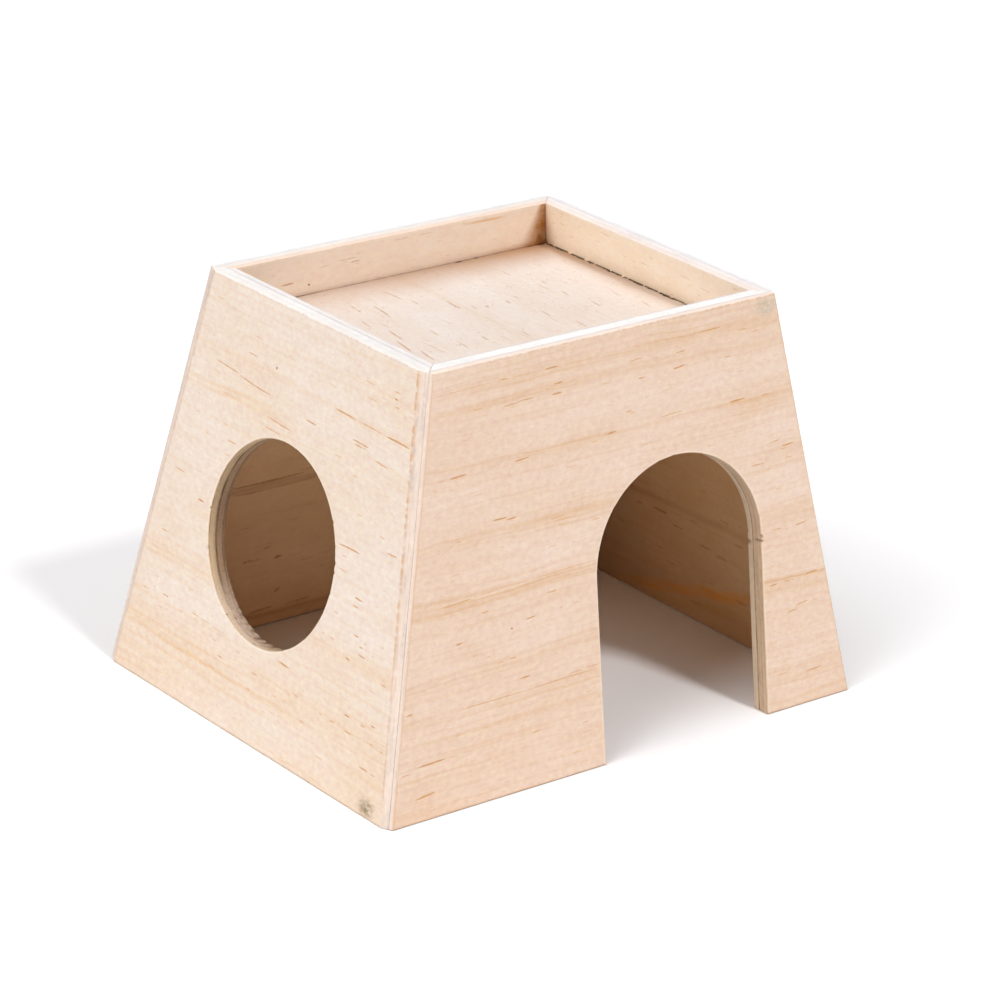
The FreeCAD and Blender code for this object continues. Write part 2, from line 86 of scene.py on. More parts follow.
DOOR_FACE_MARKS = [
    (-48.0, 92.6, -31.0, 93.0, 0.23, 0.25), (-30.7, 93.1, -27.6, 93.1, 0.32, 0.60), (-27.6, 93.1, -18.4, 93.1, 0.23, 0.30), (-18.4, 93.0, -14.0, 93.1, 0.36, 0.85),
    (-14.0, 93.1, -3.1, 92.9, 0.23, 0.25), (-3.1, 92.8, 6.6, 92.6, 0.23, 0.20), (25.0, 93.0, 32.1, 93.2, 0.32, 0.55), (47.2, 93.4, 50.2, 93.4, 0.27, 0.40),
    (-16.2, 89.4, -13.0, 89.5, 0.36, 0.70), (-18.9, 88.8, -16.4, 88.8, 0.27, 0.30), (-16.9, 87.1, -13.3, 87.2, 0.36, 0.75), (-30.0, 87.1, -25.2, 87.4, 0.32, 0.50),
    (-25.9, 87.4, -21.0, 87.5, 0.32, 0.55), (-38.3, 87.9, -34.9, 87.9, 0.27, 0.35), (4.8, 90.2, 9.3, 90.5, 0.32, 0.40), (11.4, 89.6, 14.1, 89.7, 0.27, 0.35),
    (18.1, 89.6, 21.9, 89.8, 0.32, 0.55), (7.1, 86.0, 10.0, 86.1, 0.32, 0.55), (17.3, 86.2, 21.6, 86.6, 0.36, 0.80), (32.1, 86.0, 34.5, 86.1, 0.27, 0.50),
    (36.2, 91.4, 39.6, 91.4, 0.27, 0.40), (39.9, 90.2, 43.2, 90.5, 0.27, 0.35), (45.4, 90.2, 49.3, 90.3, 0.32, 0.50), (47.2, 91.7, 49.3, 91.7, 0.27, 0.40),
    (3.2, 79.2, 5.9, 79.2, 0.36, 0.60), (4.2, 78.7, 6.6, 78.8, 0.27, 0.35), (-2.3, 75.3, 1.1, 75.5, 0.36, 0.75), (-45.5, 74.1, -40.0, 74.3, 0.36, 0.85),
    (-48.5, 74.1, -45.8, 74.1, 0.27, 0.40), (-28.0, 74.4, -23.2, 74.7, 0.36, 0.70), (-35.1, 74.4, -31.0, 74.6, 0.27, 0.25), (12.7, 76.0, 19.9, 76.3, 0.32, 0.45),
    (33.0, 75.4, 38.4, 75.7, 0.41, 0.80), (42.4, 75.1, 45.6, 75.2, 0.32, 0.50), (-6.7, 74.3, -4.1, 74.4, 0.27, 0.35), (6.6, 70.8, 11.4, 70.9, 0.27, 0.25),
    (-34.6, 62.6, -30.0, 62.6, 0.36, 0.80), (-31.0, 62.0, -27.4, 62.1, 0.32, 0.60), (-44.8, 59.9, -42.6, 60.0, 0.27, 0.40), (34.5, 59.3, 38.7, 59.4, 0.27, 0.40),
    (38.7, 59.5, 43.5, 59.5, 0.32, 0.50), (44.2, 63.8, 48.1, 64.0, 0.32, 0.50), (47.8, 62.3, 52.4, 62.6, 0.41, 0.70), (47.2, 61.7, 50.2, 61.7, 0.27, 0.45),
    (-19.1, 59.5, -14.0, 59.7, 0.27, 0.35), (-17.7, 58.8, -12.3, 58.9, 0.27, 0.35), (-8.0, 56.9, -4.3, 57.0, 0.27, 0.35), (45.4, 52.6, 48.4, 52.7, 0.27, 0.30),
    (48.4, 59.4, 51.7, 59.4, 0.27, 0.35), (-57.7, 46.1, -49.2, 46.3, 0.36, 0.45), (-49.2, 46.3, -40.7, 46.7, 0.36, 0.50), (-40.7, 46.7, -24.9, 47.3, 0.27, 0.25),
    (-24.9, 47.3, -7.0, 47.8, 0.27, 0.30), (-39.1, 42.8, -36.1, 42.9, 0.32, 0.55), (-21.0, 43.3, -17.7, 43.3, 0.32, 0.50), (44.4, 43.2, 47.6, 43.2, 0.27, 0.50),
    (51.2, 43.0, 54.6, 43.2, 0.32, 0.60), (-46.4, 37.2, -43.6, 37.5, 0.36, 0.80), (-27.1, 38.7, -23.7, 38.9, 0.36, 0.70), (-17.7, 39.2, -16.2, 39.2, 0.27, 0.40),
    (-14.3, 39.3, -11.3, 39.4, 0.27, 0.35), (-42.1, 33.7, -40.2, 33.8, 0.27, 0.35), (-38.5, 32.6, -36.6, 32.7, 0.27, 0.35), (-32.2, 30.8, -29.5, 30.9, 0.36, 0.65),
    (-35.8, 30.6, -32.7, 30.7, 0.27, 0.35), (53.6, 30.8, 58.0, 31.0, 0.41, 0.85), (42.7, 30.2, 45.9, 30.4, 0.36, 0.75), (47.2, 30.4, 50.0, 30.6, 0.32, 0.50),
    (-29.8, 25.6, -26.1, 25.8, 0.36, 0.75), (-60.6, 24.5, -58.2, 24.7, 0.36, 0.75), (-61.8, 22.3, -46.8, 22.6, 0.23, 0.50), (-46.8, 22.6, -27.4, 22.6, 0.23, 0.50),
    (-27.4, 22.6, -7.2, 22.9, 0.23, 0.50), (-16.2, 23.5, -11.6, 23.6, 0.27, 0.50), (-11.0, 23.8, -7.2, 23.9, 0.27, 0.40), (47.6, 22.8, 51.5, 23.2, 0.32, 0.55),
    (50.2, 24.1, 55.1, 24.5, 0.32, 0.50), (-11.6, 18.2, -9.2, 18.2, 0.27, 0.30), (-58.4, 12.4, -50.1, 12.6, 0.41, 0.80), (-50.1, 12.6, -46.8, 12.6, 0.27, 0.35),
    (-27.4, 12.5, -23.5, 12.7, 0.32, 0.50), (-13.3, 11.4, -10.4, 11.5, 0.27, 0.30), (-63.0, 11.4, -59.4, 11.5, 0.27, 0.45), (-59.6, 5.2, -53.3, 5.9, 0.41, 0.80),
    (-13.3, 9.0, -9.7, 9.1, 0.27, 0.35), (44.2, 8.6, 48.3, 8.7, 0.27, 0.40), (52.7, 7.6, 58.2, 7.9, 0.32, 0.60), (-16.2, 5.1, -12.8, 5.2, 0.27, 0.30),
    (-64.2, 8.5, -62.3, 8.5, 0.27, 0.40), (55.1, 24.2, 57.8, 24.2, 0.27, 0.25), (41.8, 16.4, 44.8, 16.4, 0.27, 0.25), (-40.7, 17.0, -37.7, 17.0, 0.27, 0.25),
    (-48.0, 17.0, -45.1, 17.1, 0.27, 0.30), (-31.0, 9.1, -28.6, 9.1, 0.27, 0.25), (1.7, 3.4, 2.0, 3.4, 0.18, 0.10), (-46.8, 52.7, -43.6, 52.9, 0.27, 0.25),
    (-20.1, 53.4, -16.9, 53.5, 0.27, 0.25), (-39.5, 69.1, -35.8, 69.2, 0.27, 0.25), (-14.0, 70.1, -10.4, 70.2, 0.27, 0.25), (13.9, 81.8, 17.5, 82.0, 0.27, 0.25),
    (35.7, 81.8, 38.7, 82.0, 0.27, 0.25), (-3.1, 86.7, -0.7, 86.7, 0.27, 0.30), (-41.9, 81.8, -39.2, 81.8, 0.27, 0.25), (26.0, 66.7, 29.1, 66.8, 0.27, 0.25),
    (6.6, 66.7, 9.3, 66.8, 0.27, 0.20), (57.5, 13.3, 60.4, 13.5, 0.27, 0.30), (45.4, 11.5, 47.8, 11.5, 0.27, 0.25),
]
DOOR_FACE_PITS = [(-30.7, 37.5, 0.29, 0.90), (-34.6, 69.4, 0.15, 0.30), (-18.9, 29.1, 0.17, 0.40), (-55.2, 29.1, 0.16, 0.30), (13.9, 83.7, 0.16, 0.30), (50.2, 30.3, 0.18, 0.50), (-51.6, 38.8, 0.16, 0.30), (-29.2, 33.9, 0.15, 0.25), (-12.8, 50.9, 0.16, 0.30)]
BACK_INNER_MARKS = [
    (18.6, 40.5, 38.8, 40.6, 0.45, 0.75), (28.9, 38.3, 38.0, 38.6, 0.35, 0.50), (14.9, 38.5, 28.9, 38.3, 0.30, 0.35), (26.3, 22.4, 28.2, 22.0, 0.40, 0.60),
    (31.7, 19.6, 33.7, 19.6, 0.50, 0.75), (28.5, 19.4, 31.7, 19.6, 0.30, 0.35), (22.7, 19.1, 24.7, 18.7, 0.55, 0.85), (22.3, 10.5, 23.6, 8.9, 0.70, 0.60),
    (23.8, 5.3, 30.7, 4.9, 0.45, 0.60), (13.0, 5.4, 16.5, 5.1, 0.40, 0.55), (16.8, 5.2, 20.3, 5.0, 0.30, 0.40), (13.8, 41.5, 20.1, 41.4, 0.25, 0.30),
    (33.0, 28.8, 35.8, 29.0, 0.25, 0.30), (18.6, 28.1, 21.5, 28.2, 0.25, 0.25), (13.7, 16.3, 17.2, 16.3, 0.25, 0.30), (9.4, 93.9, 11.6, 93.8, 0.35, 0.60),
    (27.7, 91.6, 31.0, 91.5, 0.50, 0.75), (10.1, 94.8, 15.1, 94.8, 0.30, 0.40), (-4.5, 97.2, -0.2, 97.2, 0.25, 0.30), (-28.3, 98.4, -21.9, 97.7, 0.35, 0.55),
    (-10.9, 97.2, -7.4, 97.1, 0.25, 0.30), (17.9, 94.3, 20.7, 94.1, 0.25, 0.30), (-34.2, 98.3, -30.7, 97.9, 0.25, 0.25),
]
PLAIN_INNER_MARKS = [
    (13.8, 31.2, 23.7, 31.0, 0.45, 0.45), (11.3, 27.4, 13.6, 27.1, 0.40, 0.60), (1.9, 27.8, 7.1, 27.8, 0.50, 0.70), (-3.7, 25.5, 0.4, 25.4, 0.35, 0.50),
    (-13.7, 23.5, -9.3, 23.5, 0.35, 0.50), (-19.5, 22.6, -15.1, 22.6, 0.40, 0.55), (-9.8, 29.4, -6.5, 29.2, 0.30, 0.40), (7.0, 33.6, 11.5, 33.6, 0.30, 0.35),
    (-21.6, 33.4, -18.0, 33.4, 0.30, 0.40), (0.5, 14.0, 5.0, 14.0, 0.30, 0.40), (18.3, 19.1, 21.4, 19.1, 0.30, 0.35), (-26.0, 28.6, -22.8, 28.5, 0.35, 0.50),
    (-14.4, 39.1, -11.5, 39.2, 0.30, 0.35), (5.0, 17.1, 8.4, 16.9, 0.30, 0.30), (-25.4, 12.6, -20.7, 12.7, 0.40, 0.40), (-8.4, 6.1, -3.2, 6.0, 0.40, 0.40),
    (12.1, 97.7, 16.5, 97.9, 0.25, 0.30), (-2.0, 94.3, 2.3, 94.5, 0.25, 0.30), (-16.5, 95.4, -12.3, 95.6, 0.30, 0.35), (17.8, 98.8, 21.9, 98.9, 0.25, 0.25),
    (-23.4, 94.3, -19.2, 94.5, 0.25, 0.30),
]
TRAY_MARKS = [
    (14.7, 16.8, 24.2, 15.5, 0.30, 0.40), (21.0, 20.6, 26.9, 19.7, 0.30, 0.35), (1.5, 23.2, 8.7, 22.3, 0.28, 0.45), (-5.7, 26.3, 2.6, 24.9, 0.28, 0.50),
    (-13.1, 25.3, -5.6, 24.1, 0.28, 0.40), (11.0, -0.2, 18.0, -0.6, 0.30, 0.45), (12.0, 0.1, 15.8, -0.2, 0.30, 0.50), (9.0, -3.3, 12.2, -3.4, 0.30, 0.40),
    (8.1, -6.0, 10.3, -6.3, 0.35, 0.50), (23.0, 7.3, 31.5, 7.8, 0.25, 0.35), (18.3, 6.2, 22.3, 6.1, 0.25, 0.30), (-11.1, 14.3, -4.6, 13.6, 0.25, 0.30),
    (7.5, -11.9, 10.6, -12.3, 0.30, 0.45), (9.3, -15.6, 12.4, -15.7, 0.25, 0.30), (-12.4, -2.1, -7.3, -2.7, 0.25, 0.30), (-4.3, -14.2, 0.9, -14.8, 0.25, 0.30),
    (30.9, -10.1, 36.6, -10.3, 0.25, 0.25), (4.7, -26.6, 9.2, -27.3, 0.25, 0.30), (-5.2, -28.1, 0.1, -28.8, 0.25, 0.35), (-2.3, -36.3, 3.0, -37.1, 0.25, 0.30),
    (23.0, -23.9, 27.9, -24.2, 0.25, 0.25), (14.0, -27.5, 17.2, -27.7, 0.25, 0.30), (-9.3, 7.4, -5.0, 6.9, 0.25, 0.35), (-13.2, -16.9, -8.7, -17.4, 0.25, 0.25),
    (-11.3, -37.8, -6.1, -38.5, 0.25, 0.30), (11.7, 24.6, 17.5, 23.7, 0.25, 0.30), (-0.7, 14.9, 3.7, 14.4, 0.25, 0.30),
]

# ------------------------------------------------------------------ repeatable noise
def cell(i, j, seed):
    """A number from 0 to 1 for each whole-number cell."""
    n = (np.asarray(i, np.int64) * 374761393 + np.asarray(j, np.int64) * 668265263 + int(seed) * 974634777) & 0xFFFFFFFF
    n = ((n ^ (n >> 13)) * 1274126177) & 0xFFFFFFFF
    n = n ^ (n >> 16)
    return (n & 0xFFFFFF) / float(0xFFFFFF)


def wave1(x, seed):
    """Smooth noise along a line, from -1 to 1."""
    x = np.asarray(x, float)
    i = np.floor(x)
    f = x - i
    f = f * f * (3 - 2 * f)
    return (cell(i, 0, seed) * (1 - f) + cell(i + 1, 0, seed) * f) * 2 - 1


def wave2(x, y, seed):
    """Smooth noise over a plane, from -1 to 1."""
    x, y = np.broadcast_arrays(np.asarray(x, float), np.asarray(y, float))
    i, j = np.floor(x), np.floor(y)
    f, g = x - i, y - j
    f, g = f * f * (3 - 2 * f), g * g * (3 - 2 * g)
    a = cell(i, j, seed) * (1 - f) + cell(i + 1, j, seed) * f
    b = cell(i, j + 1, seed) * (1 - f) + cell(i + 1, j + 1, seed) * f
    return (a * (1 - g) + b * g) * 2 - 1


def rough1(x, seed):
    """Three octaves of wave1."""
    return (wave1(x, seed) + 0.5 * wave1(x * 2.3 + 7, seed + 11) + 0.25 * wave1(x * 5.1 + 3, seed + 23)) / 1.75


# ------------------------------------------------------------------ boards
def spaced(length, step):
    """Distances along a side: even steps, with closer ones beside each end. The last end is left to the next side."""
    near = [0.0, 0.13, 0.3, 0.55, 0.9]
    n = max(2, int(round((length - 1.8) / step)))
    mid = list(np.linspace(0.9, length - 0.9, n + 1))[1:-1]
    return np.array((near + mid + [length - x for x in near[:0:-1]])) / length


class Loop:
    """One closed edge of a board, counter-clockwise round the wood: points whose place depends on the depth in the board."""

    def __init__(self):
        self.side, self.t, self.s, self.corner = [], [], [], []
        self.total = 0.0

    def add(self, side, length, step, plain=False):
        t = np.linspace(0, 1, max(3, int(round(length / step))) + 1)[:-1] if plain else spaced(length, step)
        self.corner.append(len(self.t) if not plain else -1)
        self.side += [side] * len(t)
        self.t += list(t)
        self.s += list(self.total + t * length)
        self.total += length

    def close(self):
        self.side, self.t, self.s = np.array(self.side), np.array(self.t), np.array(self.s)
        self.corner = [c for c in self.corner if c >= 0]
        return self


def normals_of(p):
    """Unit normals of a closed outline that point out of the wood, and how far a corner's point has to move for a unit inset."""
    a, b = p - np.roll(p, 1, 0), np.roll(p, -1, 0) - p
    a /= np.maximum(np.linalg.norm(a, axis=1), 1e-9)[:, None]
    b /= np.maximum(np.linalg.norm(b, axis=1), 1e-9)[:, None]
    m = a + b
    m /= np.maximum(np.linalg.norm(m, axis=1), 1e-9)[:, None]
    n = np.stack([m[:, 1], -m[:, 0]], 1)
    reach = 1 / np.maximum(np.abs((m * a).sum(1)), 0.6)
    return n, reach


def inside(points, loops):
    """Even-odd test of points against closed outlines."""
    hit = np.zeros(len(points), bool)
    x, y = points[:, 0], points[:, 1]
    for p in loops:
        q = np.roll(p, -1, 0)
        for k in range(0, len(p), 400):
            a, b = p[k:k + 400], q[k:k + 400]
            cross = (a[None, :, 1] > y[:, None]) != (b[None, :, 1] > y[:, None])
            dy = np.where(b[:, 1] == a[:, 1], 1e-12, b[:, 1] - a[:, 1])
            at = a[None, :, 0] + (y[:, None] - a[None, :, 1]) / dy[None] * (b - a)[None, :, 0]
            hit ^= ((cross & (x[:, None] < at)).sum(1) % 2).astype(bool)
    return hit


def nearest(points, others):
    """Distance from each point to the nearest of the others."""
    out = np.full(len(points), 1e9)
    for k in range(0, len(points), 500):
        d = points[k:k + 500, None] - others[None]
        out[k:k + 500] = np.sqrt((d ** 2).sum(2).min(1))
    return out


def groove(rng, x0, y0, x1, y1, width, strength):
    """A short pore or resin streak as a sunken sliver: (points, edges, mask, depth)."""
    a, b = np.array([x0, y0]), np.array([x1, y1])
    length = np.linalg.norm(b - a)
    if length < 0.2:
        return None
    n = int(np.clip(length / 0.8, 3, 40))
    t = np.linspace(0, 1, n + 1)
    along = (b - a) / length
    across = np.array([-along[1], along[0]])
    bow = (rng.rand() - 0.5) * min(0.5, length * 0.03)
    wob = (rng.rand(n + 1) - 0.5) * min(0.12, width * 0.3)
    mid = a + t[:, None] * (b - a) + (bow * np.sin(math.pi * t) + wob * np.sin(math.pi * t))[:, None] * across
    half = 1.55 * width / 2 * np.sin(math.pi * np.clip(t, 0.0, 1.0)) ** 0.55 * (0.7 + 0.5 * rng.rand(n + 1))
    up, low = mid[1:-1] + half[1:-1, None] * across, mid[1:-1] - half[1:-1, None] * across
    pts = np.vstack([mid, up, low])
    m = n + 1
    top = [0] + list(range(m, m + n - 1)) + [n]
    bot = [0] + list(range(m + n - 1, m + 2 * (n - 1))) + [n]
    edges = [(i, j) for c in (top, bot, list(range(n + 1))) for i, j in zip(c, c[1:])]
    mask = np.zeros(len(pts))
    mask[1:n] = strength * (0.7 + 0.3 * rng.rand(n - 1))
    depth = np.zeros(len(pts))
    depth[1:n] = 0.03 + 0.07 * strength
    return pts, edges, mask, depth


def pit(rng, x, y, radius, strength):
    """A small round pit: (points, edges, mask, depth)."""
    k = 9
    ang = np.linspace(0, 2 * math.pi, k + 1)[:-1] + rng.rand() * 0.6
    r = radius * (0.85 + 0.3 * rng.rand(k))
    ring = np.stack([x + r * np.cos(ang), y + r * np.sin(ang)], 1)
    core = np.stack([x + r * 0.55 * np.cos(ang), y + r * 0.55 * np.sin(ang)], 1)
    pts = np.vstack([ring, core, [[x, y]]])
    edges = [(i, (i + 1) % k) for i in range(k)] + [(k + i, k + (i + 1) % k) for i in range(k)]
    mask = np.array([0.0] * k + [strength] * (k + 1))
    depth = np.array([0.0] * k + [radius * 0.5] * k + [radius * 0.7])
    return pts, edges, mask, depth


def streaks(seed, u0, u1, v0, v1, per_area=1 / 95.0, long=1.0, weak=1.0):
    """Seeded pores and resin streaks that run along U over a face, in loose flights as in slow-grown softwood."""
    rng = np.random.RandomState(seed)
    rows = []
    flights = [(v0 + rng.rand() * (v1 - v0), 1.5 + 5 * rng.rand()) for _ in range(int((v1 - v0) / 9) + 2)]
    for _ in range(int((u1 - u0) * (v1 - v0) * per_area)):
        v, spread = flights[rng.randint(len(flights))] if rng.rand() < 0.62 else (v0 + rng.rand() * (v1 - v0), 0.5)
        v += rng.randn() * spread * 0.5
        u = u0 + rng.rand() * (u1 - u0)
        length = (1.6 + rng.gamma(1.6, 1.3)) * long * (2.6 if rng.rand() < 0.05 else 1)
        slope = rng.randn() * 0.012
        rows.append((u, v, u + length, v + slope * length, 0.22 + 0.16 * rng.rand(), (0.25 + 0.6 * rng.rand() ** 1.6) * weak))
    pits = [(u0 + rng.rand() * (u1 - u0), v0 + rng.rand() * (v1 - v0), 0.12 + 0.12 * rng.rand(), (0.3 + 0.5 * rng.rand()) * weak) for _ in range(9)]
    return rows, pits


def ring_depths(glue1, glue2):
    """Depths of the rings: eased outer edge, sanded corner, first glue line, core, second glue line, eased inner edge."""
    core = list(np.linspace(glue1 + 0.08, glue2 - 0.08, 6))[1:-1]
    last = list(np.linspace(glue2 + 0.08, BOARD - 0.26, 4))[1:-1]
    return ([0.0, 0.04, 0.12, 0.26, 0.5, 0.78, 0.894, 1.0, 1.2, glue1 - 0.08, glue1, glue1 + 0.08] + core
            + [glue2 - 0.08, glue2, glue2 + 0.08] + last + [BOARD - 0.26, BOARD - 0.12, BOARD - 0.04, BOARD])


class Board:
    """A board with eased edges, sawn openings, glue lines and sunken pores, built ring by ring through its thickness."""

    KINK = 6

    def __init__(self, name, origin, along, up, out, loops, place, seed, sides):
        self.name, self.loops, self.place, self.seed = name, loops, place, seed
        self.origin, self.along, self.up, self.out = (np.array(v, float) for v in (origin, along, up, out))
        self.sides = sides      # side -> dict(outer=ease, inner=ease, saw=roughness, groove=depth, group=material)
        self.chips = []         # (loop, s, half width, size, how deep, "outer" or "inner")
        self.torn = {}          # (loop, side) -> (size, darkening: stain, and painted shade on the tray's edges, length of a tear, dotted)
        self.depths = [ring_depths(GLUE_1, GLUE_2) for _ in loops]
        self.marks = {"outer": [], "inner": []}
        self.pits = {"outer": [], "inner": []}
        self.extra = []

    def ring(self, k, li):
        """Points, in the board's plane, of ring k of loop li, with each point's depth, its stain and painted shade, and
        its wear and painted highlight.
        """
        loop = self.loops[li]
        base = self.depths[li][k]
        depth = np.full(len(loop.t), base)
        p, height = self.place(loop, depth)
        if abs(k - self.KINK) <= 1:
            depth = depth + (height / HEIGHT - 0.5) * 0.06
            p, height = self.place(loop, depth)
        n, reach = normals_of(p)
        inset = np.zeros(len(p))
        for side, look in self.sides.items():
            on = loop.side == side
            if not on.any():
                continue
            s = loop.s[on]
            ro = look["outer"] * (1 + 0.25 * rough1(s / 3.1, self.seed + 3))
            ri = look["inner"] * (1 + 0.25 * rough1(s / 2.7, self.seed + 5))
            x = np.clip(1 - base / ro, 0, 1)
            inset[on] += ro * (1 - np.sqrt(1 - x * x))
            x = np.clip(1 - (BOARD - base) / ri, 0, 1)
            inset[on] += ri * (1 - np.sqrt(1 - x * x))
            if look["saw"]:
                inset[on] += look["saw"] * (0.5 + 0.5 * rough1(s / 9.0, self.seed + 7))
                core = self.depths[li][10] < base < self.depths[li][17]
                inset[on] += look["saw"] * (0.9 if core else 0.35) * np.abs(wave2(s / (0.9 if core else 2.5), base / 0.5, self.seed + 9))
            if k in (10, 17):
                inset[on] += look["groove"] * (0.55 + 0.45 * rough1(s / 5.0, self.seed + 13 + k))
            if k == self.KINK and side in ("end_a", "end_b"):
                inset[on] += 0.05 * (0.6 + 0.4 * rough1(s / 4.0, self.seed + 17))
            if k > self.KINK + 1 and side in ("end_a", "end_b"):
                inset[on] += 0.006
        stain_and_shade, worn_and_highlight = np.zeros(len(p)), np.zeros(len(p))
        for (cl, cs, half, size, deep, face) in self.chips:
            if cl != li:
                continue
            at = np.abs(loop.s - cs)
            at = np.minimum(at, loop.total - at)
            shape = np.clip(1 - at / half, 0, 1) ** 0.7 * (0.8 + 0.2 * wave1(loop.s / 0.35, self.seed + 31))
            far = base if face == "outer" else BOARD - base
            if far < deep:
                inset += size * shape * (1 - far / deep) ** 0.6
                if size >= 0.25:        # painted shade in the deeper nicks
                    stain_and_shade = np.maximum(stain_and_shade, shape ** 1.5 * min(1.0, size * 2) * (1 - far / deep) ** 0.3)
        for (cl, side), (size, tint, scale, dotted) in self.torn.items():
            if cl != li:
                continue
            on = loop.side == side
            s = loop.s[on]
            tear = np.clip(rough1(s / scale, self.seed + 41) * 1.3 + 0.2, 0, 1) * (0.5 + 0.5 * wave1(s / 0.8, self.seed + 43))
            much = 0.55 + 0.45 * rough1(s / 7.0, self.seed + 47) + 0.4 * tear
            if dotted:      # a chain of torn fibres, strongest towards the rim
                t = loop.t[on] if side == "end_b" else 1 - loop.t[on]
                high = np.clip(0.30 + 0.95 * t + 0.35 * rough1(s / 11.0, self.seed + 51), 0.15, 1)
                chain = np.clip(0.52 + 0.95 * wave1(s / 0.55, self.seed + 53) + 0.35 * rough1(s / 4.0, self.seed + 57), 0, 1)
                much = high * (0.22 + 0.78 * chain)
                tear = np.clip(chain * high * 1.1, 0, 1)
            if base < 0.5:
                inset[on] += size * np.clip(tear, 0, 1) * (1 - base / 0.5)
            if base < 0.3:
                stain_and_shade[on] = np.maximum(stain_and_shade[on], tint * np.clip(much, 0, 1) * (1 - base / 0.3))
        # painted highlight: a paler band along the eased face edge of the door and round hole, also standing for
        # lighter sanded fibres there
        for side, look in self.sides.items():
            on = loop.side == side
            if base < 0.3 and look.get("worn_and_highlight") and on.any():
                s = loop.s[on]
                worn_and_highlight[on] = look["worn_and_highlight"] * np.clip(0.75 + 0.45 * rough1(s / 4.0, self.seed + 61), 0, 1) * (1 - base / 0.3)
        for c in loop.corner:           # corners in the board's plane are rubbed round
            inset[c] += 0.07
            for o in (-1, 1):
                inset[(c + o) % len(p)] += 0.02
        return p - n * (inset * reach)[:, None], depth, stain_and_shade, worn_and_highlight

    def world(self, p, depth):
        return (self.origin + p[:, :1] * self.along + p[:, 1:2] * self.up - np.asarray(depth)[:, None] * self.out) * 0.001

    def cap(self, loops, marks, pits, seed):
        """Fills a face inside its loops. Returns points, triangles, mask, sunk, and the input place of each loop point."""
        rng = np.random.RandomState(seed)
        pts, edges, mask, sunk = [], [], [], []
        count = 0
        for p in loops:
            n = len(p)
            pts.append(p)
            edges += [(count + i, count + (i + 1) % n) for i in range(n)]
            mask += [0.0] * n
            sunk += [0.0] * n
            count += n
        rim = np.vstack(loops)
        first = count
        # a second row of points just inside each edge keeps the flat face flat up to its eased edge
        for gap in (0.4, 1.3):
            row = []
            for p in loops:
                nn, reach = normals_of(p)
                row.append((p - nn * gap)[::2 if gap < 1 else 4])
            row = np.vstack(row)
            row = row[inside(row, loops)]
            row = row[nearest(row, rim) > gap * 0.8]
            pts.append(row)
            count += len(row)
            mask += [0.0] * len(row)
            sunk += [0.0] * len(row)
        lo, hi = rim.min(0), rim.max(0)
        step = 3.2
        gx, gy = np.meshgrid(np.arange(lo[0], hi[0], step), np.arange(lo[1], hi[1], step))
        grid = np.stack([gx.ravel(), gy.ravel()], 1) + (rng.rand(gx.size, 2) - 0.5) * step * 0.6
        grid = grid[inside(grid, loops)]
        grid = grid[nearest(grid, rim) > 2.2]
        shapes = []
        for m in marks:
            g = groove(rng, *m)
            if g is not None:
                shapes.append(g)
        shapes += [pit(rng, *q) for q in pits]
        kept = []
        for g in shapes:
            q = g[0]
            if not inside(q, loops).all() or nearest(q, rim).min() < 0.28:
                continue
            kept.append(g)
        if kept:
            allm = np.vstack([g[0] for g in kept])
            grid = grid[nearest(grid, allm) > 0.7]
        pts.append(grid)
        count += len(grid)
        mask += [0.0] * len(grid)
        sunk += [0.0] * len(grid)
        for q, e, m, dp in kept:
            pts.append(q)
            edges += [(count + i, count + j) for i, j in e]
            mask += list(m)
            sunk += list(dp)
            count += len(q)
        pts = np.vstack(pts)
        v, _, f, ov, _, _ = delaunay_2d_cdt([Vector(x) for x in pts], edges, [], 0, 1e-5, True)
        v = np.array([(x[0], x[1]) for x in v])
        mask, sunk = np.array(mask), np.array(sunk)
        vm, vs, ring_of = np.zeros(len(v)), np.zeros(len(v)), {}
        for i, ids in enumerate(ov):
            if ids:
                vm[i], vs[i] = mask[ids].max(), sunk[ids].max()
                low = min(ids)
                if low < first:
                    ring_of[i] = low
            else:
                vm[i], vs[i] = 0.3, 0.03
        f = np.array([x for x in f if len(x) == 3])
        mid = v[f].mean(1)
        f = f[inside(mid, loops)]
        return v, f, vm, vs, ring_of

    def build(self, materials, slot, node):
        K = len(self.depths[0])
        co, wood, mask, quads, qgroup = [], [], [], [], []
        start = {}
        count = 0
        rings0, ringsT = [], []
        for li, loop in enumerate(self.loops):
            n = len(loop.t)
            for k in range(K):
                p, depth, stain_and_shade, worn_and_highlight = self.ring(k, li)
                start[(li, k)] = count
                co.append(self.world(p, depth))
                wood.append(np.column_stack([p, depth]))
                mask.append(np.column_stack([np.zeros(n), stain_and_shade, worn_and_highlight]))
                count += n
                if k == 0:
                    rings0.append(p)
                if k == K - 1:
                    ringsT.append(p)
            group = np.array([self.sides[s]["group"] for s in loop.side])
            j = np.arange(n)
            j2 = (j + 1) % n
            for k in range(K - 1):
                a, b = start[(li, k)], start[(li, k + 1)]
                quads.append(np.stack([a + j, b + j, b + j2, a + j2], 1))
                qgroup.append(group)
        quads, qgroup = np.vstack(quads), np.concatenate(qgroup)
        faces, index = [tuple(q) for q in quads], list(qgroup)
        for which, rings, k, group, flip in (("outer", rings0, 0, 0, False), ("inner", ringsT, K - 1, 1, True)):
            v, f, vm, vs, ring_of = self.cap(rings, self.marks[which], self.pits[which], self.seed + (100 if flip else 50))
            offsets, at = [], 0
            for p in rings:
                offsets.append(at)
                at += len(p)
            target = np.zeros(len(v), int)
            fresh = []
            for i in range(len(v)):
                if i in ring_of:
                    g = ring_of[i]
                    li = max(x for x in range(len(offsets)) if offsets[x] <= g)
                    target[i] = start[(li, k)] + g - offsets[li]
                else:
                    target[i] = count + len(fresh)
                    fresh.append(i)
            if fresh:
                q = v[fresh]
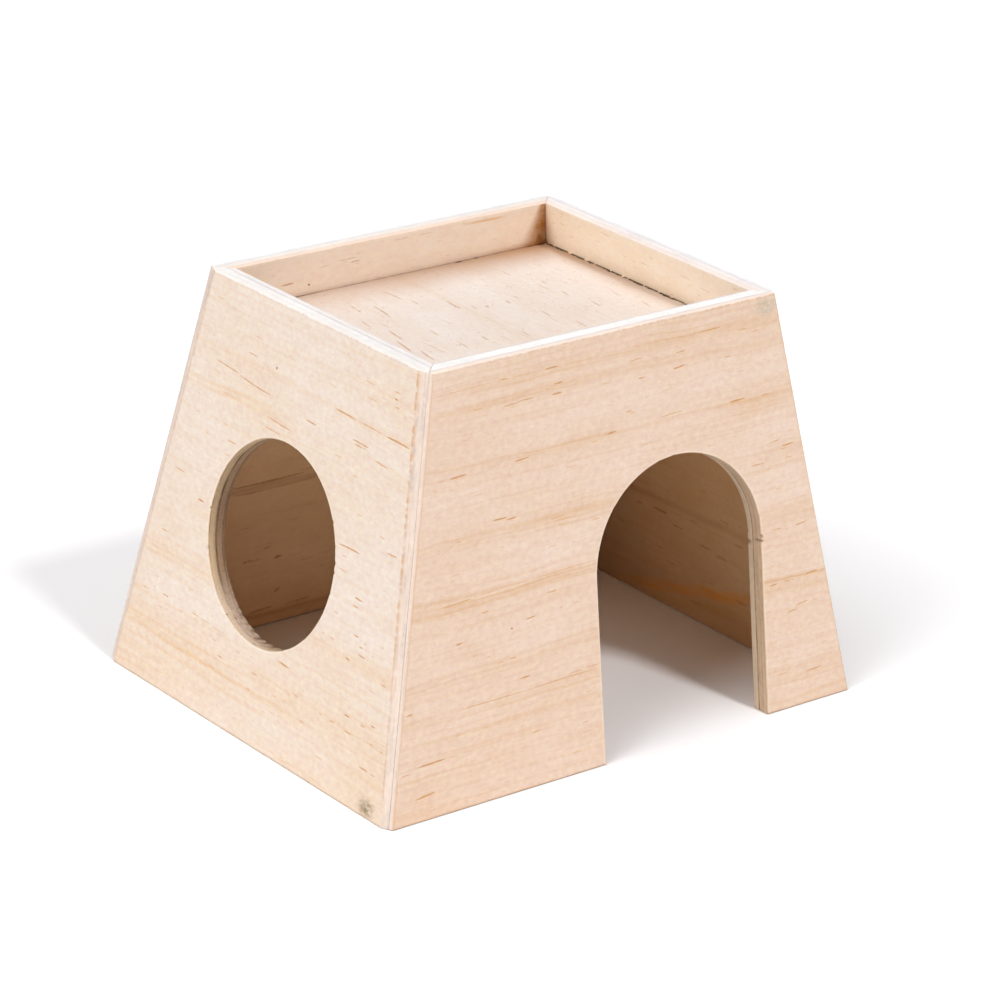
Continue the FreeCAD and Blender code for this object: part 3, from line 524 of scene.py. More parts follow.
                d0 = vs[fresh] if not flip else BOARD - vs[fresh]
                co.append(self.world(q, d0))
                wood.append(np.column_stack([q, np.full(len(q), 0.0 if not flip else BOARD)]))
                mask.append(np.column_stack([vm[fresh], np.zeros(len(q)), np.zeros(len(q))]))
                count += len(fresh)
            tri = target[f]
            if flip:
                tri = tri[:, ::-1]
            faces += [tuple(t) for t in tri]
            index += [group] * len(tri)
        for ec, ew, em, ef, eg in self.extra:
            co.append(ec)
            wood.append(ew)
            mask.append(em)
            faces += [tuple(int(i) + count for i in f) for f in ef]
            index += [eg] * len(ef)
            count += len(ec)
        co, wood, mask = np.vstack(co), np.vstack(wood), np.vstack(mask)
        mesh = bpy.data.meshes.new(self.name)
        mesh.from_pydata([tuple(c) for c in co], [], [tuple(int(i) for i in f) for f in faces])
        mesh.polygons.foreach_set("material_index", np.array(index, np.int32))
        a = mesh.attributes.new("wood", "FLOAT_VECTOR", "POINT")
        a.data.foreach_set("vector", wood.astype(np.float32).ravel())
        a = mesh.attributes.new("marks", "FLOAT_COLOR", "POINT")
        a.data.foreach_set("color", np.column_stack([mask, np.ones(len(mask))]).astype(np.float32).ravel())
        bm = bmesh.new()
        bm.from_mesh(mesh)
        loose = [x for x in bm.verts if not x.link_faces]
        bmesh.ops.delete(bm, geom=loose, context="VERTS")
        bmesh.ops.dissolve_degenerate(bm, dist=1e-8, edges=bm.edges)
        # the fill leaves hairline gaps at the corners of the outline: weld them and close what is left
        for reach in (2e-5, 5e-5, 1e-4):
            rim = [x for x in bm.verts if any(len(e.link_faces) == 1 for e in x.link_edges)]
            if not rim:
                break
            bmesh.ops.remove_doubles(bm, verts=rim, dist=reach)
            gaps = [e for e in bm.edges if len(e.link_faces) == 1]
            if gaps:
                bmesh.ops.holes_fill(bm, edges=gaps, sides=0)
        bmesh.ops.delete(bm, geom=[e for e in bm.edges if not e.link_faces], context="EDGES")
        for _ in range(4):                     # the closing faces turn the way their neighbours do
            near = [fc for fc in bm.faces if any(len(e.link_faces) == 2 and not e.is_contiguous for e in fc.edges)]
            for fc in near:
                if fc.calc_area() < 2e-7 and 2 * sum(not e.is_contiguous for e in fc.edges) > len(fc.edges):
                    fc.normal_flip()
        bm.normal_update()
        for e in bm.edges:
            e.smooth = e.calc_face_angle(0.0) < math.radians(38)
        for fc in bm.faces:
            fc.smooth = True
        open_edges = sum(1 for e in bm.edges if not e.is_manifold)
        volume = bm.calc_volume()
        bm.to_mesh(mesh)
        bm.free()
        for m in materials:
            mesh.materials.append(m)
        o = bpy.data.objects.new(self.name, mesh)
        bpy.context.scene.collection.objects.link(o)
        w = o.modifiers.new("flat faces stay flat", "WEIGHTED_NORMAL")
        w.keep_sharp = True
        w.weight = 80
        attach(o, "root")
        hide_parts(node)
        print("BOARD", self.name, "faces", len(mesh.polygons), "open", open_edges, "volume mm3", round(volume * 1e9, 1))
        return o


def wall_place(long, door):
    """The outline of a leaning wall at a depth: level foot and rim, glued mitres at both ends, sanded outer corners."""
    lean = LEAN_Y if long else LEAN_X
    cs, sn = math.cos(lean), math.sin(lean)

    def half(height, depth):
        level = depth / cs
        short = 2.75 + 0.6 * height / HEIGHT
        if long:
            whole = (FOOT_X - (FOOT_X - RIM_X) * height / HEIGHT) / 2
            cut = np.maximum(level * THICK_X / THICK_Y, SAND_LONG * (1 - level / short))
        else:
            whole = (FOOT_Y - (FOOT_Y - RIM_Y) * height / HEIGHT) / 2
            cut = np.maximum(level * THICK_Y / THICK_X, short * (1 - level / SAND_LONG))
        return whole - cut

    def place(loop, depth):
        t, side = loop.t, loop.side
        u, v, h = np.zeros(len(t)), np.zeros(len(t)), np.zeros(len(t))
        foot = depth * sn / cs
        rim = (HEIGHT + depth * sn) / cs
        low, high = half(np.zeros(len(t)), depth), half(np.full(len(t), HEIGHT), depth)
        for name in set(side):
            on = side == name
            tt, dd = t[on], depth[on]
            if name == "foot":
                u[on] = -low[on] + tt * 2 * low[on]
                v[on] = foot[on]
            elif name == "foot_a":
                u[on] = -low[on] + tt * (DOOR_U - DOOR_R + low[on])
                v[on] = foot[on]
            elif name == "foot_b":
                u[on] = DOOR_U + DOOR_R + tt * (low[on] - DOOR_U - DOOR_R)
                v[on] = foot[on]
            elif name == "jamb_a":
                u[on] = DOOR_U - DOOR_R
                v[on] = foot[on] + tt * (DOOR_V - foot[on])
            elif name == "arch":
                a = math.pi * (1 - tt)
                u[on] = DOOR_U + DOOR_R * np.cos(a)
                v[on] = DOOR_V + DOOR_R * np.sin(a)
            elif name == "jamb_b":
                u[on] = DOOR_U + DOOR_R
                v[on] = DOOR_V + tt * (foot[on] - DOOR_V)
            elif name in ("end_a", "end_b"):
                z = HEIGHT * (tt if name == "end_b" else 1 - tt)
                u[on] = half(z, dd) * (1 if name == "end_b" else -1)
                v[on] = (z + dd * sn) / cs
            elif name == "rim":
                u[on] = high[on] - tt * 2 * high[on]
                v[on] = rim[on]
            elif name == "hole":
                a = -2 * math.pi * tt
                u[on] = HOLE_U + HOLE_R * np.cos(a)
                v[on] = HOLE_V + HOLE_R * np.sin(a)
            h[on] = v[on] * cs - dd * sn
        return np.stack([u, v], 1), np.clip(h, 0, HEIGHT)

    return place


def wall(name, origin, along, up, out, long, door, hole, seed):
    slope = HEIGHT / math.cos(LEAN_Y if long else LEAN_X)
    foot_len, rim_len = (FOOT_X, RIM_X) if long else (FOOT_Y, RIM_Y)
    main = Loop()
    if door:
        main.add("foot_a", DOOR_U - DOOR_R + foot_len / 2, 0.6)
        main.add("jamb_a", DOOR_V, 0.45)
        main.add("arch", math.pi * DOOR_R, 0.45, plain=True)
        main.add("jamb_b", DOOR_V, 0.45, plain=True)
        main.add("foot_b", foot_len / 2 - DOOR_U - DOOR_R, 0.6)
    else:
        main.add("foot", foot_len, 0.6)
    main.add("end_b", slope, 0.4)
    main.add("rim", rim_len, 0.5)
    main.add("end_a", slope, 0.4)
    loops = [main.close()]
    if hole:
        ring = Loop()
        ring.add("hole", 2 * math.pi * HOLE_R, 0.42, plain=True)
        loops.append(ring.close())
    cut = dict(outer=0.2, inner=0.22, saw=0.05, groove=0.05, group=2)
    sides = {
        "foot": dict(cut, saw=0.04), "foot_a": dict(cut, saw=0.04), "foot_b": dict(cut, saw=0.04),
        "jamb_a": dict(cut, worn_and_highlight=0.75), "jamb_b": dict(cut, worn_and_highlight=0.6), "arch": dict(cut, worn_and_highlight=0.75), "hole": dict(cut, saw=0.09, groove=0.09, group=5, worn_and_highlight=0.7),
        "rim": dict(cut, outer=0.24, inner=0.22, saw=0.03, groove=0.03, group=3),
        "end_a": dict(outer=0.05, inner=0.03, saw=0.0, groove=0.0, group=4),
        "end_b": dict(outer=0.05, inner=0.03, saw=0.0, groove=0.0, group=4),
    }
    return Board(name, origin, along, up, out, loops, wall_place(long, door), seed, sides)


def loop_s(board, li, side, t):
    """Distance along a loop of a place on one of its sides."""
    loop = board.loops[li]
    on = np.where(loop.side == side)[0]
    return float(np.interp(t, loop.t[on], loop.s[on]))


# ------------------------------------------------------------------ materials
def lin(c):
    c /= 255.0
    return c / 12.92 if c <= 0.04045 else ((c + 0.055) / 1.055) ** 2.4


def rgb(r, g, b):
    return (lin(r), lin(g), lin(b), 1.0)


class Tree:
    """Short names for building a material's nodes."""

    def __init__(self, name):
        self.mat = bpy.data.materials.new(name)
        self.mat.use_nodes = True
        self.tree = self.mat.node_tree
        self.tree.nodes.clear()

    def add(self, kind, **props):
        n = self.tree.nodes.new(kind)
        for k, v in props.items():
            setattr(n, k, v)
        return n

    def put(self, socket, value):
        if isinstance(value, bpy.types.NodeSocket):
            self.tree.links.new(value, socket)
        else:
            socket.default_value = value

    def attribute(self, name):
        return self.add("ShaderNodeAttribute", attribute_name=name)

    def scaled(self, vec, by, plus=(0, 0, 0)):
        n = self.add("ShaderNodeVectorMath", operation="MULTIPLY_ADD")
        self.put(n.inputs[0], vec)
        self.put(n.inputs[1], by)
        self.put(n.inputs[2], plus)
        return n.outputs[0]

    def noise(self, vec, detail=2.0, rough=0.5, scale=1.0, distortion=0.0):
        n = self.add("ShaderNodeTexNoise", noise_dimensions="3D")
        self.put(n.inputs["Vector"], vec)
        self.put(n.inputs["Scale"], scale)
        self.put(n.inputs["Detail"], detail)
        self.put(n.inputs["Roughness"], rough)
        self.put(n.inputs["Distortion"], distortion)
        return n.outputs["Fac"]

    def math(self, op, a, b=0.0, c=0.0, clamp=False):
        n = self.add("ShaderNodeMath", operation=op, use_clamp=clamp)
        self.put(n.inputs[0], a)
        self.put(n.inputs[1], b)
        self.put(n.inputs[2], c)
        return n.outputs[0]

    def spread(self, x, a, b, c=0.0, d=1.0, smooth=False):
        n = self.add("ShaderNodeMapRange", clamp=True, interpolation_type="SMOOTHSTEP" if smooth else "LINEAR")
        for s, v in zip(n.inputs, (x, a, b, c, d)):
            self.put(s, v)
        return n.outputs[0]

    def mix(self, fac, a, b, mode="MIX"):
        n = self.add("ShaderNodeMix", data_type="RGBA", blend_type=mode)
        self.put(n.inputs[0], fac)
        self.put(n.inputs[6], a)
        self.put(n.inputs[7], b)
        return n.outputs[2]

    def times(self, col, *by):
        """The colour times one number, or times one number for each channel."""
        return self.mix(1.0, col, self.joined(*(by if len(by) == 3 else by * 3)), "MULTIPLY")

    def ramp(self, fac, stops, mode="EASE"):
        n = self.add("ShaderNodeValToRGB")
        n.color_ramp.interpolation = mode
        e = n.color_ramp.elements
        while len(e) > 1:
            e.remove(e[-1])
        for i, (at, v) in enumerate(stops):
            x = e[0] if i == 0 else e.new(at)
            x.position = at
            x.color = (v, v, v, 1.0) if not isinstance(v, tuple) else v
        self.put(n.inputs[0], fac)
        return n.outputs[0]

    def split(self, vec):
        n = self.add("ShaderNodeSeparateXYZ")
        self.put(n.inputs[0], vec)
        return n.outputs

    def joined(self, x, y, z=0.0):
        n = self.add("ShaderNodeCombineXYZ")
        self.put(n.inputs[0], x)
        self.put(n.inputs[1], y)
        self.put(n.inputs[2], z)
        return n.outputs[0]

    def finish(self, color, rough, height, strength, distance, specular=0.32):
        bump = self.add("ShaderNodeBump")
        bump.inputs["Strength"].default_value = strength
        bump.inputs["Distance"].default_value = distance
        self.put(bump.inputs["Height"], height)
        s = self.add("ShaderNodeBsdfPrincipled")
        self.put(s.inputs["Base Color"], color)
        self.put(s.inputs["Roughness"], rough)
        s.inputs["Specular IOR Level"].default_value = specular
        s.inputs["IOR"].default_value = 1.45
        self.put(s.inputs["Normal"], bump.outputs[0])
        out = self.add("ShaderNodeOutputMaterial")
        self.put(out.inputs["Surface"], s.outputs[0])
        return self.mat


def veneer(name, seed, pale, tan, bands=None, rings=0.3, dashes=0.5, dash=(222, 174, 124), mark=(184, 126, 80), stain_and_shade=(204, 150, 96),
           band_gain=0.7, mottle=0.095, rough=0.6, patch=None, blotch=0.25, lit_upper=None, paint=None, specks=0.0, worn_and_highlight=(250, 236, 218)):
    """Rotary-cut softwood veneer: latewood bands, fine growth lines, short brown pores, fibre and cloudy mottle, all
    along U.

    lit_upper is (height on the board, pale, tan): paler tones above that height, painted light on the part lit above
    the tray, while darker main tones below stand for painted shade inside the box. paint adds the board's own stains
    and its painted shade."""
    t = Tree(name)
    P = t.attribute("wood").outputs["Vector"]
    marks = t.split(t.attribute("marks").outputs["Vector"])
    off = (seed * 13.7, seed * 5.3, seed * 2.9)
    u, v, _ = t.split(P)
    w1 = t.noise(t.scaled(P, (0.010, 0.030, 0.0), off), detail=2.0)
    w2 = t.noise(t.scaled(P, (0.07, 0.12, 0.0), off), detail=2.0)
    v2 = t.math("ADD", v, t.math("MULTIPLY_ADD", t.math("SUBTRACT", w1, 0.5), 6.0, t.math("MULTIPLY", t.math("SUBTRACT", w2, 0.5), 1.8)))
    Q = t.joined(u, v2, 0.0)
    fade = t.spread(t.noise(t.scaled(Q, (0.024, 0.07, 0.0), off), detail=2.0), 0.3, 0.7, 0.25, 1.3)
    if bands:
        band = t.math("POWER", t.ramp(t.math("MULTIPLY", v2, 0.01), bands), 1.35)
    else:
        band = t.spread(t.noise(t.scaled(Q, (0.005, 0.16, 0.0), off), detail=3.0, rough=0.6), 0.46, 0.70, 0.0, 1.0, True)
    band = t.math("MULTIPLY", band, fade)
    # thin latewood lines inside the bands and, weaker, between them
    ring = t.spread(t.noise(t.scaled(Q, (0.011, 0.95, 0.0), off), detail=3.0, rough=0.62), 0.46, 0.72, 0.0, 1.0)
    wide = t.spread(t.noise(t.scaled(P, (0.022, 0.05, 0.0), (off[1], off[0], 0)), detail=3.0), 0.35, 0.7)
    k = t.math("MULTIPLY", band, t.math("MULTIPLY_ADD", ring, 0.7, 0.6))
    k = t.math("ADD", t.math("MULTIPLY", k, band_gain), t.math("MULTIPLY", ring, rings))
    k = t.math("ADD", k, t.math("MULTIPLY", wide, blotch), clamp=True)
    pale_c, tan_c = rgb(*pale), rgb(*tan)
    # painted light and shade: above the given height the board takes paler, lit tones
    if lit_upper:
        level, lit_pale, lit_tan = lit_upper
        lit_part = t.spread(v, level - 1.0, level + 1.0)
        pale_c, tan_c = t.mix(lit_part, pale_c, rgb(*lit_pale)), t.mix(lit_part, tan_c, rgb(*lit_tan))
    col = t.mix(k, pale_c, tan_c)
    # cloudy mottle of about a millimetre, with pinker and creamier flecks, and fibre
    cloud = t.noise(t.scaled(P, (0.62, 0.80, 0.0), off), detail=4.0, rough=0.66)
    tint = t.noise(t.scaled(P, (0.48, 0.60, 0.0), (off[2] + 31, off[0], 0)), detail=3.0, rough=0.6)
    broad = t.noise(t.scaled(P, (0.11, 0.19, 0.0), (off[2], off[0] + 9, 0)), detail=3.0, rough=0.55)
    fibre = t.noise(t.scaled(Q, (0.10, 4.6, 0.0), off), detail=3.0, rough=0.6)
    lift = t.math("ADD", t.spread(cloud, 0.28, 0.72, 1.0 - mottle, 1.0 + mottle), t.spread(fibre, 0.25, 0.75, -0.025, 0.025))
    lift = t.math("ADD", lift, t.spread(broad, 0.3, 0.7, -0.03, 0.03))
    pink = t.spread(tint, 0.3, 0.7, -1.0, 1.0)
    green = t.math("MULTIPLY", lift, t.math("MULTIPLY_ADD", pink, -0.016, 1.0))
    blue = t.math("MULTIPLY", lift, t.math("MULTIPLY_ADD", t.math("ADD", pink, t.spread(broad, 0.3, 0.7, -0.8, 0.8)), 0.020, 0.985))
    col = t.times(col, t.math("MULTIPLY_ADD", lift, 0.5, 0.5), green, blue)
    if patch:
        pu, pv, pr, ps, pc = patch
        far = t.add("ShaderNodeVectorMath", operation="LENGTH")
        t.put(far.inputs[0], t.scaled(P, (1 / pr[0], 1 / pr[1], 0.0), (-pu / pr[0], -pv / pr[1], 0.0)))
        near = t.spread(far.outputs["Value"], 0.2, 1.0, ps, 0.0, True)
        near = t.math("MULTIPLY", near, t.spread(t.noise(t.scaled(P, (0.8, 1.1, 0.0), off), detail=3.0, rough=0.7), 0.3, 0.6))
        col = t.mix(near, col, rgb(*pc))
    if paint:
        col = paint(t, P, u, v, col)
    # faint short pores between the sunken ones
    vor = t.add("ShaderNodeTexVoronoi", feature="F1", distance="EUCLIDEAN")
    t.put(vor.inputs["Vector"], t.scaled(Q, (0.30, 2.1, 0.0), off))
    vor.inputs["Scale"].default_value = 1.0
    vor.inputs["Randomness"].default_value = 1.0
    gate = t.spread(t.split(vor.outputs["Color"])[0], 0.78, 0.98)
    spot = t.math("MULTIPLY", t.spread(vor.outputs["Distance"], 0.10, 0.34, 1.0, 0.0, True), gate)
    col = t.mix(t.math("MULTIPLY", spot, dashes), col, rgb(*dash))
    if specks:
        dots = t.add("ShaderNodeTexVoronoi", feature="F1", distance="EUCLIDEAN")
        t.put(dots.inputs["Vector"], t.scaled(P, (0.75, 1.1, 0.0), (off[1], off[2], 0)))
        dots.inputs["Scale"].default_value = 1.0
        dots.inputs["Randomness"].default_value = 1.0
        few = t.spread(t.split(dots.outputs["Color"])[1], 0.70, 0.95)
        dot = t.math("MULTIPLY", t.spread(dots.outputs["Distance"], 0.08, 0.28, 1.0, 0.0, True), few)
        col = t.mix(t.math("MULTIPLY", dot, specks), col, rgb(*mark))
    m = t.math("POWER", marks[0], 0.68)
    fringe = t.mix(t.math("MULTIPLY", m, 1.7, clamp=True), col, rgb(*dash))
    col = t.mix(t.spread(m, 0.25, 1.0, 0.0, 0.95), fringe, rgb(*mark))
    # painted highlight on the eased face edge of the openings, also standing for lighter sanded fibres
    col = t.mix(t.math("MULTIPLY", marks[2], 0.8), col, rgb(*worn_and_highlight))
    col = t.mix(t.math("MULTIPLY", marks[1], 1.0, clamp=True), col, rgb(*stain_and_shade))
    h = t.math("ADD", t.math("MULTIPLY", fibre, 0.5), t.math("MULTIPLY", cloud, 0.95))
    h = t.math("SUBTRACT", h, t.math("MULTIPLY", spot, 0.5))
    h = t.math("ADD", h, t.math("MULTIPLY", ring, 0.12))
    return t.finish(col, t.spread(fibre, 0.3, 0.7, rough - 0.06, rough + 0.08), h, 0.34, 0.00022)


def cut_edge(name, seed, outer, core, inner, glue1=0.5, glue2=0.5, line=(120, 96, 66), speck=0.4, rough=0.66, pores=(96, 74, 52),
             at=(0.30, 0.67), soft=(0.008, 0.030), arris_shade=None, streak=0.0, paint=None, stain_and_shade=(176, 130, 92)):
    """A sawn and sanded edge of three plies: side grain in the face plies, end grain with open pores in the core, thin
    glue lines.

    at is the depth of the glue lines as parts of the thickness, arris_shade (depth, strength) a dark line beside the
    face, painted shade where the eased arris turns from the light."""
    t = Tree(name)
    P = t.attribute("wood").outputs["Vector"]
    marks = t.split(t.attribute("marks").outputs["Vector"])
    off = (seed * 7.1, seed * 3.3, seed * 1.7)
    u, v, d = t.split(P)
    wav = t.noise(t.scaled(P, (0.22, 0.22, 0.0), off), detail=3.0, rough=0.6)
    d2 = t.math("ADD", d, t.math("MULTIPLY", t.math("SUBTRACT", wav, 0.5), 0.24))
    f = t.math("DIVIDE", d2, BOARD)
    ply = t.ramp(f, [(0.0, rgb(*outer)), (at[0] - 0.02, rgb(*outer)), (at[0] + 0.02, rgb(*core)), (at[1] - 0.02, rgb(*core)), (at[1] + 0.02, rgb(*inner))], "LINEAR")
    fine = t.noise(t.scaled(P, (0.30, 0.30, 5.5), off), detail=3.0, rough=0.65)
    cross = t.noise(t.scaled(P, (2.6, 2.6, 3.0), off), detail=3.0, rough=0.7)
    is_core = t.math("MULTIPLY", t.spread(f, at[0] - 0.01, at[0] + 0.01), t.spread(f, at[1] - 0.01, at[1] + 0.01, 1.0, 0.0))
    col = t.times(ply, t.spread(fine, 0.25, 0.75, 0.92, 1.06))
    dark = t.math("MULTIPLY", t.spread(cross, 0.56, 0.70), t.math("MULTIPLY_ADD", is_core, speck, speck * 0.12))
    col = t.mix(dark, col, rgb(*pores))
    blot = t.noise(t.scaled(P, (0.12, 0.12, 0.3), off), detail=3.0)
    tone = t.noise(t.scaled(P, (0.7, 0.7, 0.9), (off[2], off[1], off[0])), detail=3.0, rough=0.6)
    col = t.times(col, t.spread(blot, 0.3, 0.7, 0.95, 1.04))
    col = t.times(col, t.spread(tone, 0.3, 0.7, 0.965, 1.035), t.spread(tone, 0.3, 0.7, 0.955, 1.045), t.spread(tone, 0.3, 0.7, 0.945, 1.055))
    if streak:
        run = t.noise(t.scaled(P, (0.045, 0.045, 2.6), (off[1], off[0], off[2])), detail=3.0, rough=0.62)
        broken = t.noise(t.scaled(P, (0.5, 0.5, 1.2), off), detail=2.0, rough=0.6)
        grey = t.math("MULTIPLY", t.spread(run, 0.48, 0.66, 0.0, 1.0, True), t.spread(broken, 0.36, 0.60))
        col = t.mix(t.math("MULTIPLY", grey, streak), col, rgb(*line))
        col = t.times(col, t.spread(run, 0.25, 0.48, 1.0 + 0.10 * streak, 1.0))
    for depth, much in ((at[0], glue1), (at[1], glue2)):
        near = t.spread(t.math("ABSOLUTE", t.math("SUBTRACT", f, depth)), soft[0], soft[1], 1.0, 0.0, True)
        along = t.spread(t.noise(t.scaled(P, (0.16, 0.16, 0.0), (off[0] + depth * 50, off[1], 0)), detail=3.0, rough=0.65), 0.3, 0.62, 0.35, 1.0)
        col = t.mix(t.math("MULTIPLY", t.math("MULTIPLY", near, along), much), col, rgb(*line))
    # painted shade: a dark line just inside the face edge, where the eased arris turns from the light
    if arris_shade:
        near = t.spread(t.math("ABSOLUTE", t.math("SUBTRACT", f, arris_shade[0])), 0.0, arris_shade[2], 1.0, 0.0, True)
        along = t.spread(t.noise(t.scaled(P, (0.3, 0.3, 0.0), (off[0] + 3, off[1], 0)), detail=3.0, rough=0.65), 0.3, 0.6, 0.3, 1.0)
        col = t.mix(t.math("MULTIPLY", t.math("MULTIPLY", near, along), arris_shade[1]), col, rgb(*arris_shade[3]))
    if paint:
        col = paint(t, P, u, v, col)
    # painted highlight on the eased edge of the openings, also standing for lighter sanded fibres
    col = t.mix(t.math("MULTIPLY", marks[2], 0.5), col, rgb(244, 230, 208))
    col = t.mix(marks[1], col, rgb(*stain_and_shade))
    h = t.math("ADD", t.math("MULTIPLY", fine, 0.5), t.math("MULTIPLY", t.math("SUBTRACT", 1.0, dark), 0.6))
    return t.finish(col, t.spread(fine, 0.3, 0.7, rough - 0.05, rough + 0.08), h, 0.35, 0.0002, 0.25)


# ------------------------------------------------------------------ the four walls
cx, sx, cy, sy = math.cos(LEAN_X), math.sin(LEAN_X), math.cos(LEAN_Y), math.sin(LEAN_Y)

door_wall = wall("door_wall", (0, -FOOT_Y / 2, 0), (1, 0, 0), (0, sy, cy), (0, -cy, sy), True, True, False, 11)
back_wall = wall("back_wall", (0, FOOT_Y / 2, 0), (-1, 0, 0), (0, -sy, cy), (0, cy, sy), True, False, False, 23)
hole_wall = wall("round_hole_wall", (-FOOT_X / 2, 0, 0), (0, -1, 0), (sx, 0, cx), (-cx, 0, sx), False, False, True, 37)
plain_wall = wall("plain_side_wall", (FOOT_X / 2, 0, 0), (0, 1, 0), (-sx, 0, cx), (cx, 0, sx), False, False, False, 41)
HOLE_GLUE = (0.46, 0.87)            # where the round saw cut shows its glue lines, as parts of the thickness
hole_wall.depths[1] = ring_depths(HOLE_GLUE[0] * BOARD, HOLE_GLUE[1] * BOARD)
door_wall.depths[0] = ring_depths(GLUE_1, 0.61 * BOARD)

door_wall.marks["outer"] = DOOR_FACE_MARKS
door_wall.pits["outer"] = DOOR_FACE_PITS + [(DOOR_U + DOOR_R + 0.85, DOOR_V - 0.5, 0.34, 1.0)]
hole_wall.marks["outer"], hole_wall.pits["outer"] = HOLE_FACE_MARKS, HOLE_FACE_PITS
door_wall.marks["inner"], door_wall.pits["inner"] = streaks(71, -60, 60, 2, 96)
hole_wall.marks["inner"], hole_wall.pits["inner"] = streaks(73, -50, 50, 2, 96)
back_wall.marks["outer"], back_wall.pits["outer"] = streaks(79, -64, 62, 2, 96)
plain_wall.marks["outer"], plain_wall.pits["outer"] = streaks(83, -52, 50, 2, 96)
rows, dots = streaks(89, -60, 60, 2, 82, per_area=1 / 260.0, weak=0.8)
back_wall.marks["inner"] = [(a - 0.4, b, c + 0.8, d, w * (1.3 if b < 85 else 0.9), k * 0.55) for a, b, c, d, w, k in BACK_INNER_MARKS] + [r for r in rows if not (-2 < r[0] < 42 and r[1] < 50)]
back_wall.pits["inner"] = dots + [(23.3, 90.3, 0.32, 0.9)]
rows, dots = streaks(97, -50, 50, 2, 82, per_area=1 / 240.0, weak=0.8)
plain_wall.marks["inner"] = [(a, b, c + 0.5, d, w * (1.6 if b < 85 else 0.8), k * (0.55 if b < 85 else 0.35)) for a, b, c, d, w, k in PLAIN_INNER_MARKS] + [r for r in rows if not (-34 < r[0] < 30 and r[1] < 45)]
plain_wall.pits["inner"] = dots

# chips: nick at the door's right spring, ragged foot of the round hole and small nicks round it
s_nick = loop_s(door_wall, 0, "jamb_b", 0.02)
door_wall.chips += [(0, s_nick - 0.6, 0.55, 0.95, 0.9, "outer"), (0, s_nick + 0.45, 0.45, 0.5, 2.6, "outer"), (0, s_nick + 1.5, 0.6, 0.75, 1.3, "inner"),
                    (0, s_nick - 1.0, 0.5, 0.28, 0.7, "inner"), (0, s_nick - 2.6, 0.35, 0.18, 0.6, "inner"), (0, s_nick + 3.4, 0.4, 0.2, 0.7, "inner")]


def hole_s(deg):
    """Distance along the hole's loop of the direction deg, counted from +U towards +V."""
    return (-deg % 360) / 360 * hole_wall.loops[1].total


for deg, half, size, deep, face in ((31, 0.5, 0.55, 1.0, "outer"), (9, 0.8, 0.45, 1.0, "outer"), (4, 0.4, 0.6, 0.8, "outer"), (200, 0.5, 0.5, 0.9, "outer"),
                                    (178, 0.45, 0.45, 0.9, "outer"), (262, 1.0, 0.5, 2.4, "inner"), (268, 0.7, 0.7, 2.0, "inner"), (275, 1.2, 0.6, 1.8, "inner"),
                                    (283, 0.8, 0.65, 1.9, "inner"), (255, 0.9, 0.4, 1.6, "inner"), (290, 0.9, 0.4, 1.4, "inner"), (248, 0.6, 0.35, 1.2, "inner"),
                                    (296, 0.5, 0.35, 0.7, "outer"), (318, 0.5, 0.25, 0.7, "outer"), (60, 0.5, 0.22, 0.6, "outer"), (110, 0.4, 0.2, 0.6, "inner"),
                                    (241, 0.7, 0.35, 1.4, "inner"), (236, 0.4, 0.4, 1.0, "inner"), (230, 0.5, 0.22, 0.8, "inner"), (18, 0.5, 0.3, 0.8, "outer"),
                                    (352, 0.6, 0.3, 0.8, "outer"), (340, 0.4, 0.25, 0.6, "outer"), (150, 0.5, 0.25, 0.7, "outer"), (215, 0.6, 0.3, 0.9, "outer")):
    hole_wall.chips.append((1, hole_s(deg), half * (0.75 if face == "outer" else 1.0), size * (0.7 if face == "outer" else 1.0), deep, face))
chip_rng = np.random.RandomState(5)
for b, li, lo, hi, n in ((door_wall, 0, 0, 1, 26), (back_wall, 0, 0, 1, 22), (hole_wall, 0, 0, 1, 18), (plain_wall, 0, 0, 1, 20)):
    for _ in range(n):
        b.chips.append((li, chip_rng.rand() * b.loops[li].total, 0.3 + 0.5 * chip_rng.rand(), 0.08 + 0.14 * chip_rng.rand() ** 2, 0.25 + 0.3 * chip_rng.rand(), "outer" if chip_rng.rand() < 0.6 else "inner"))
# the sanded corners tear the face ply of the short walls
for b, strong in ((hole_wall, 1.0), (plain_wall, 0.8)):
    b.torn[(0, "end_b")] = (0.12 * strong, 0.85, 3.0, True)
    b.torn[(0, "end_a")] = (0.10 * strong, 0.45, 3.0, True)
for b in (door_wall, back_wall):
    b.torn[(0, "end_a")] = (0.05, 0.6, 4.0, False)
    b.torn[(0, "end_b")] = (0.05, 0.5, 4.0, False)
for b, stain_and_shade in ((door_wall, 0.5), (back_wall, 0.10), (hole_wall, 0.35), (plain_wall, 0.10)):
    b.torn[(0, "rim")] = (0.03, stain_and_shade, 2.5, stain_and_shade > 0.2)
for side in ("foot_a", "foot_b"):
    door_wall.torn[(0, side)] = (0.03, 0.28, 6.0, False)
for b in (hole_wall, plain_wall, back_wall):
    b.torn[(0, "foot")] = (0.03, 0.25, 6.0, False)

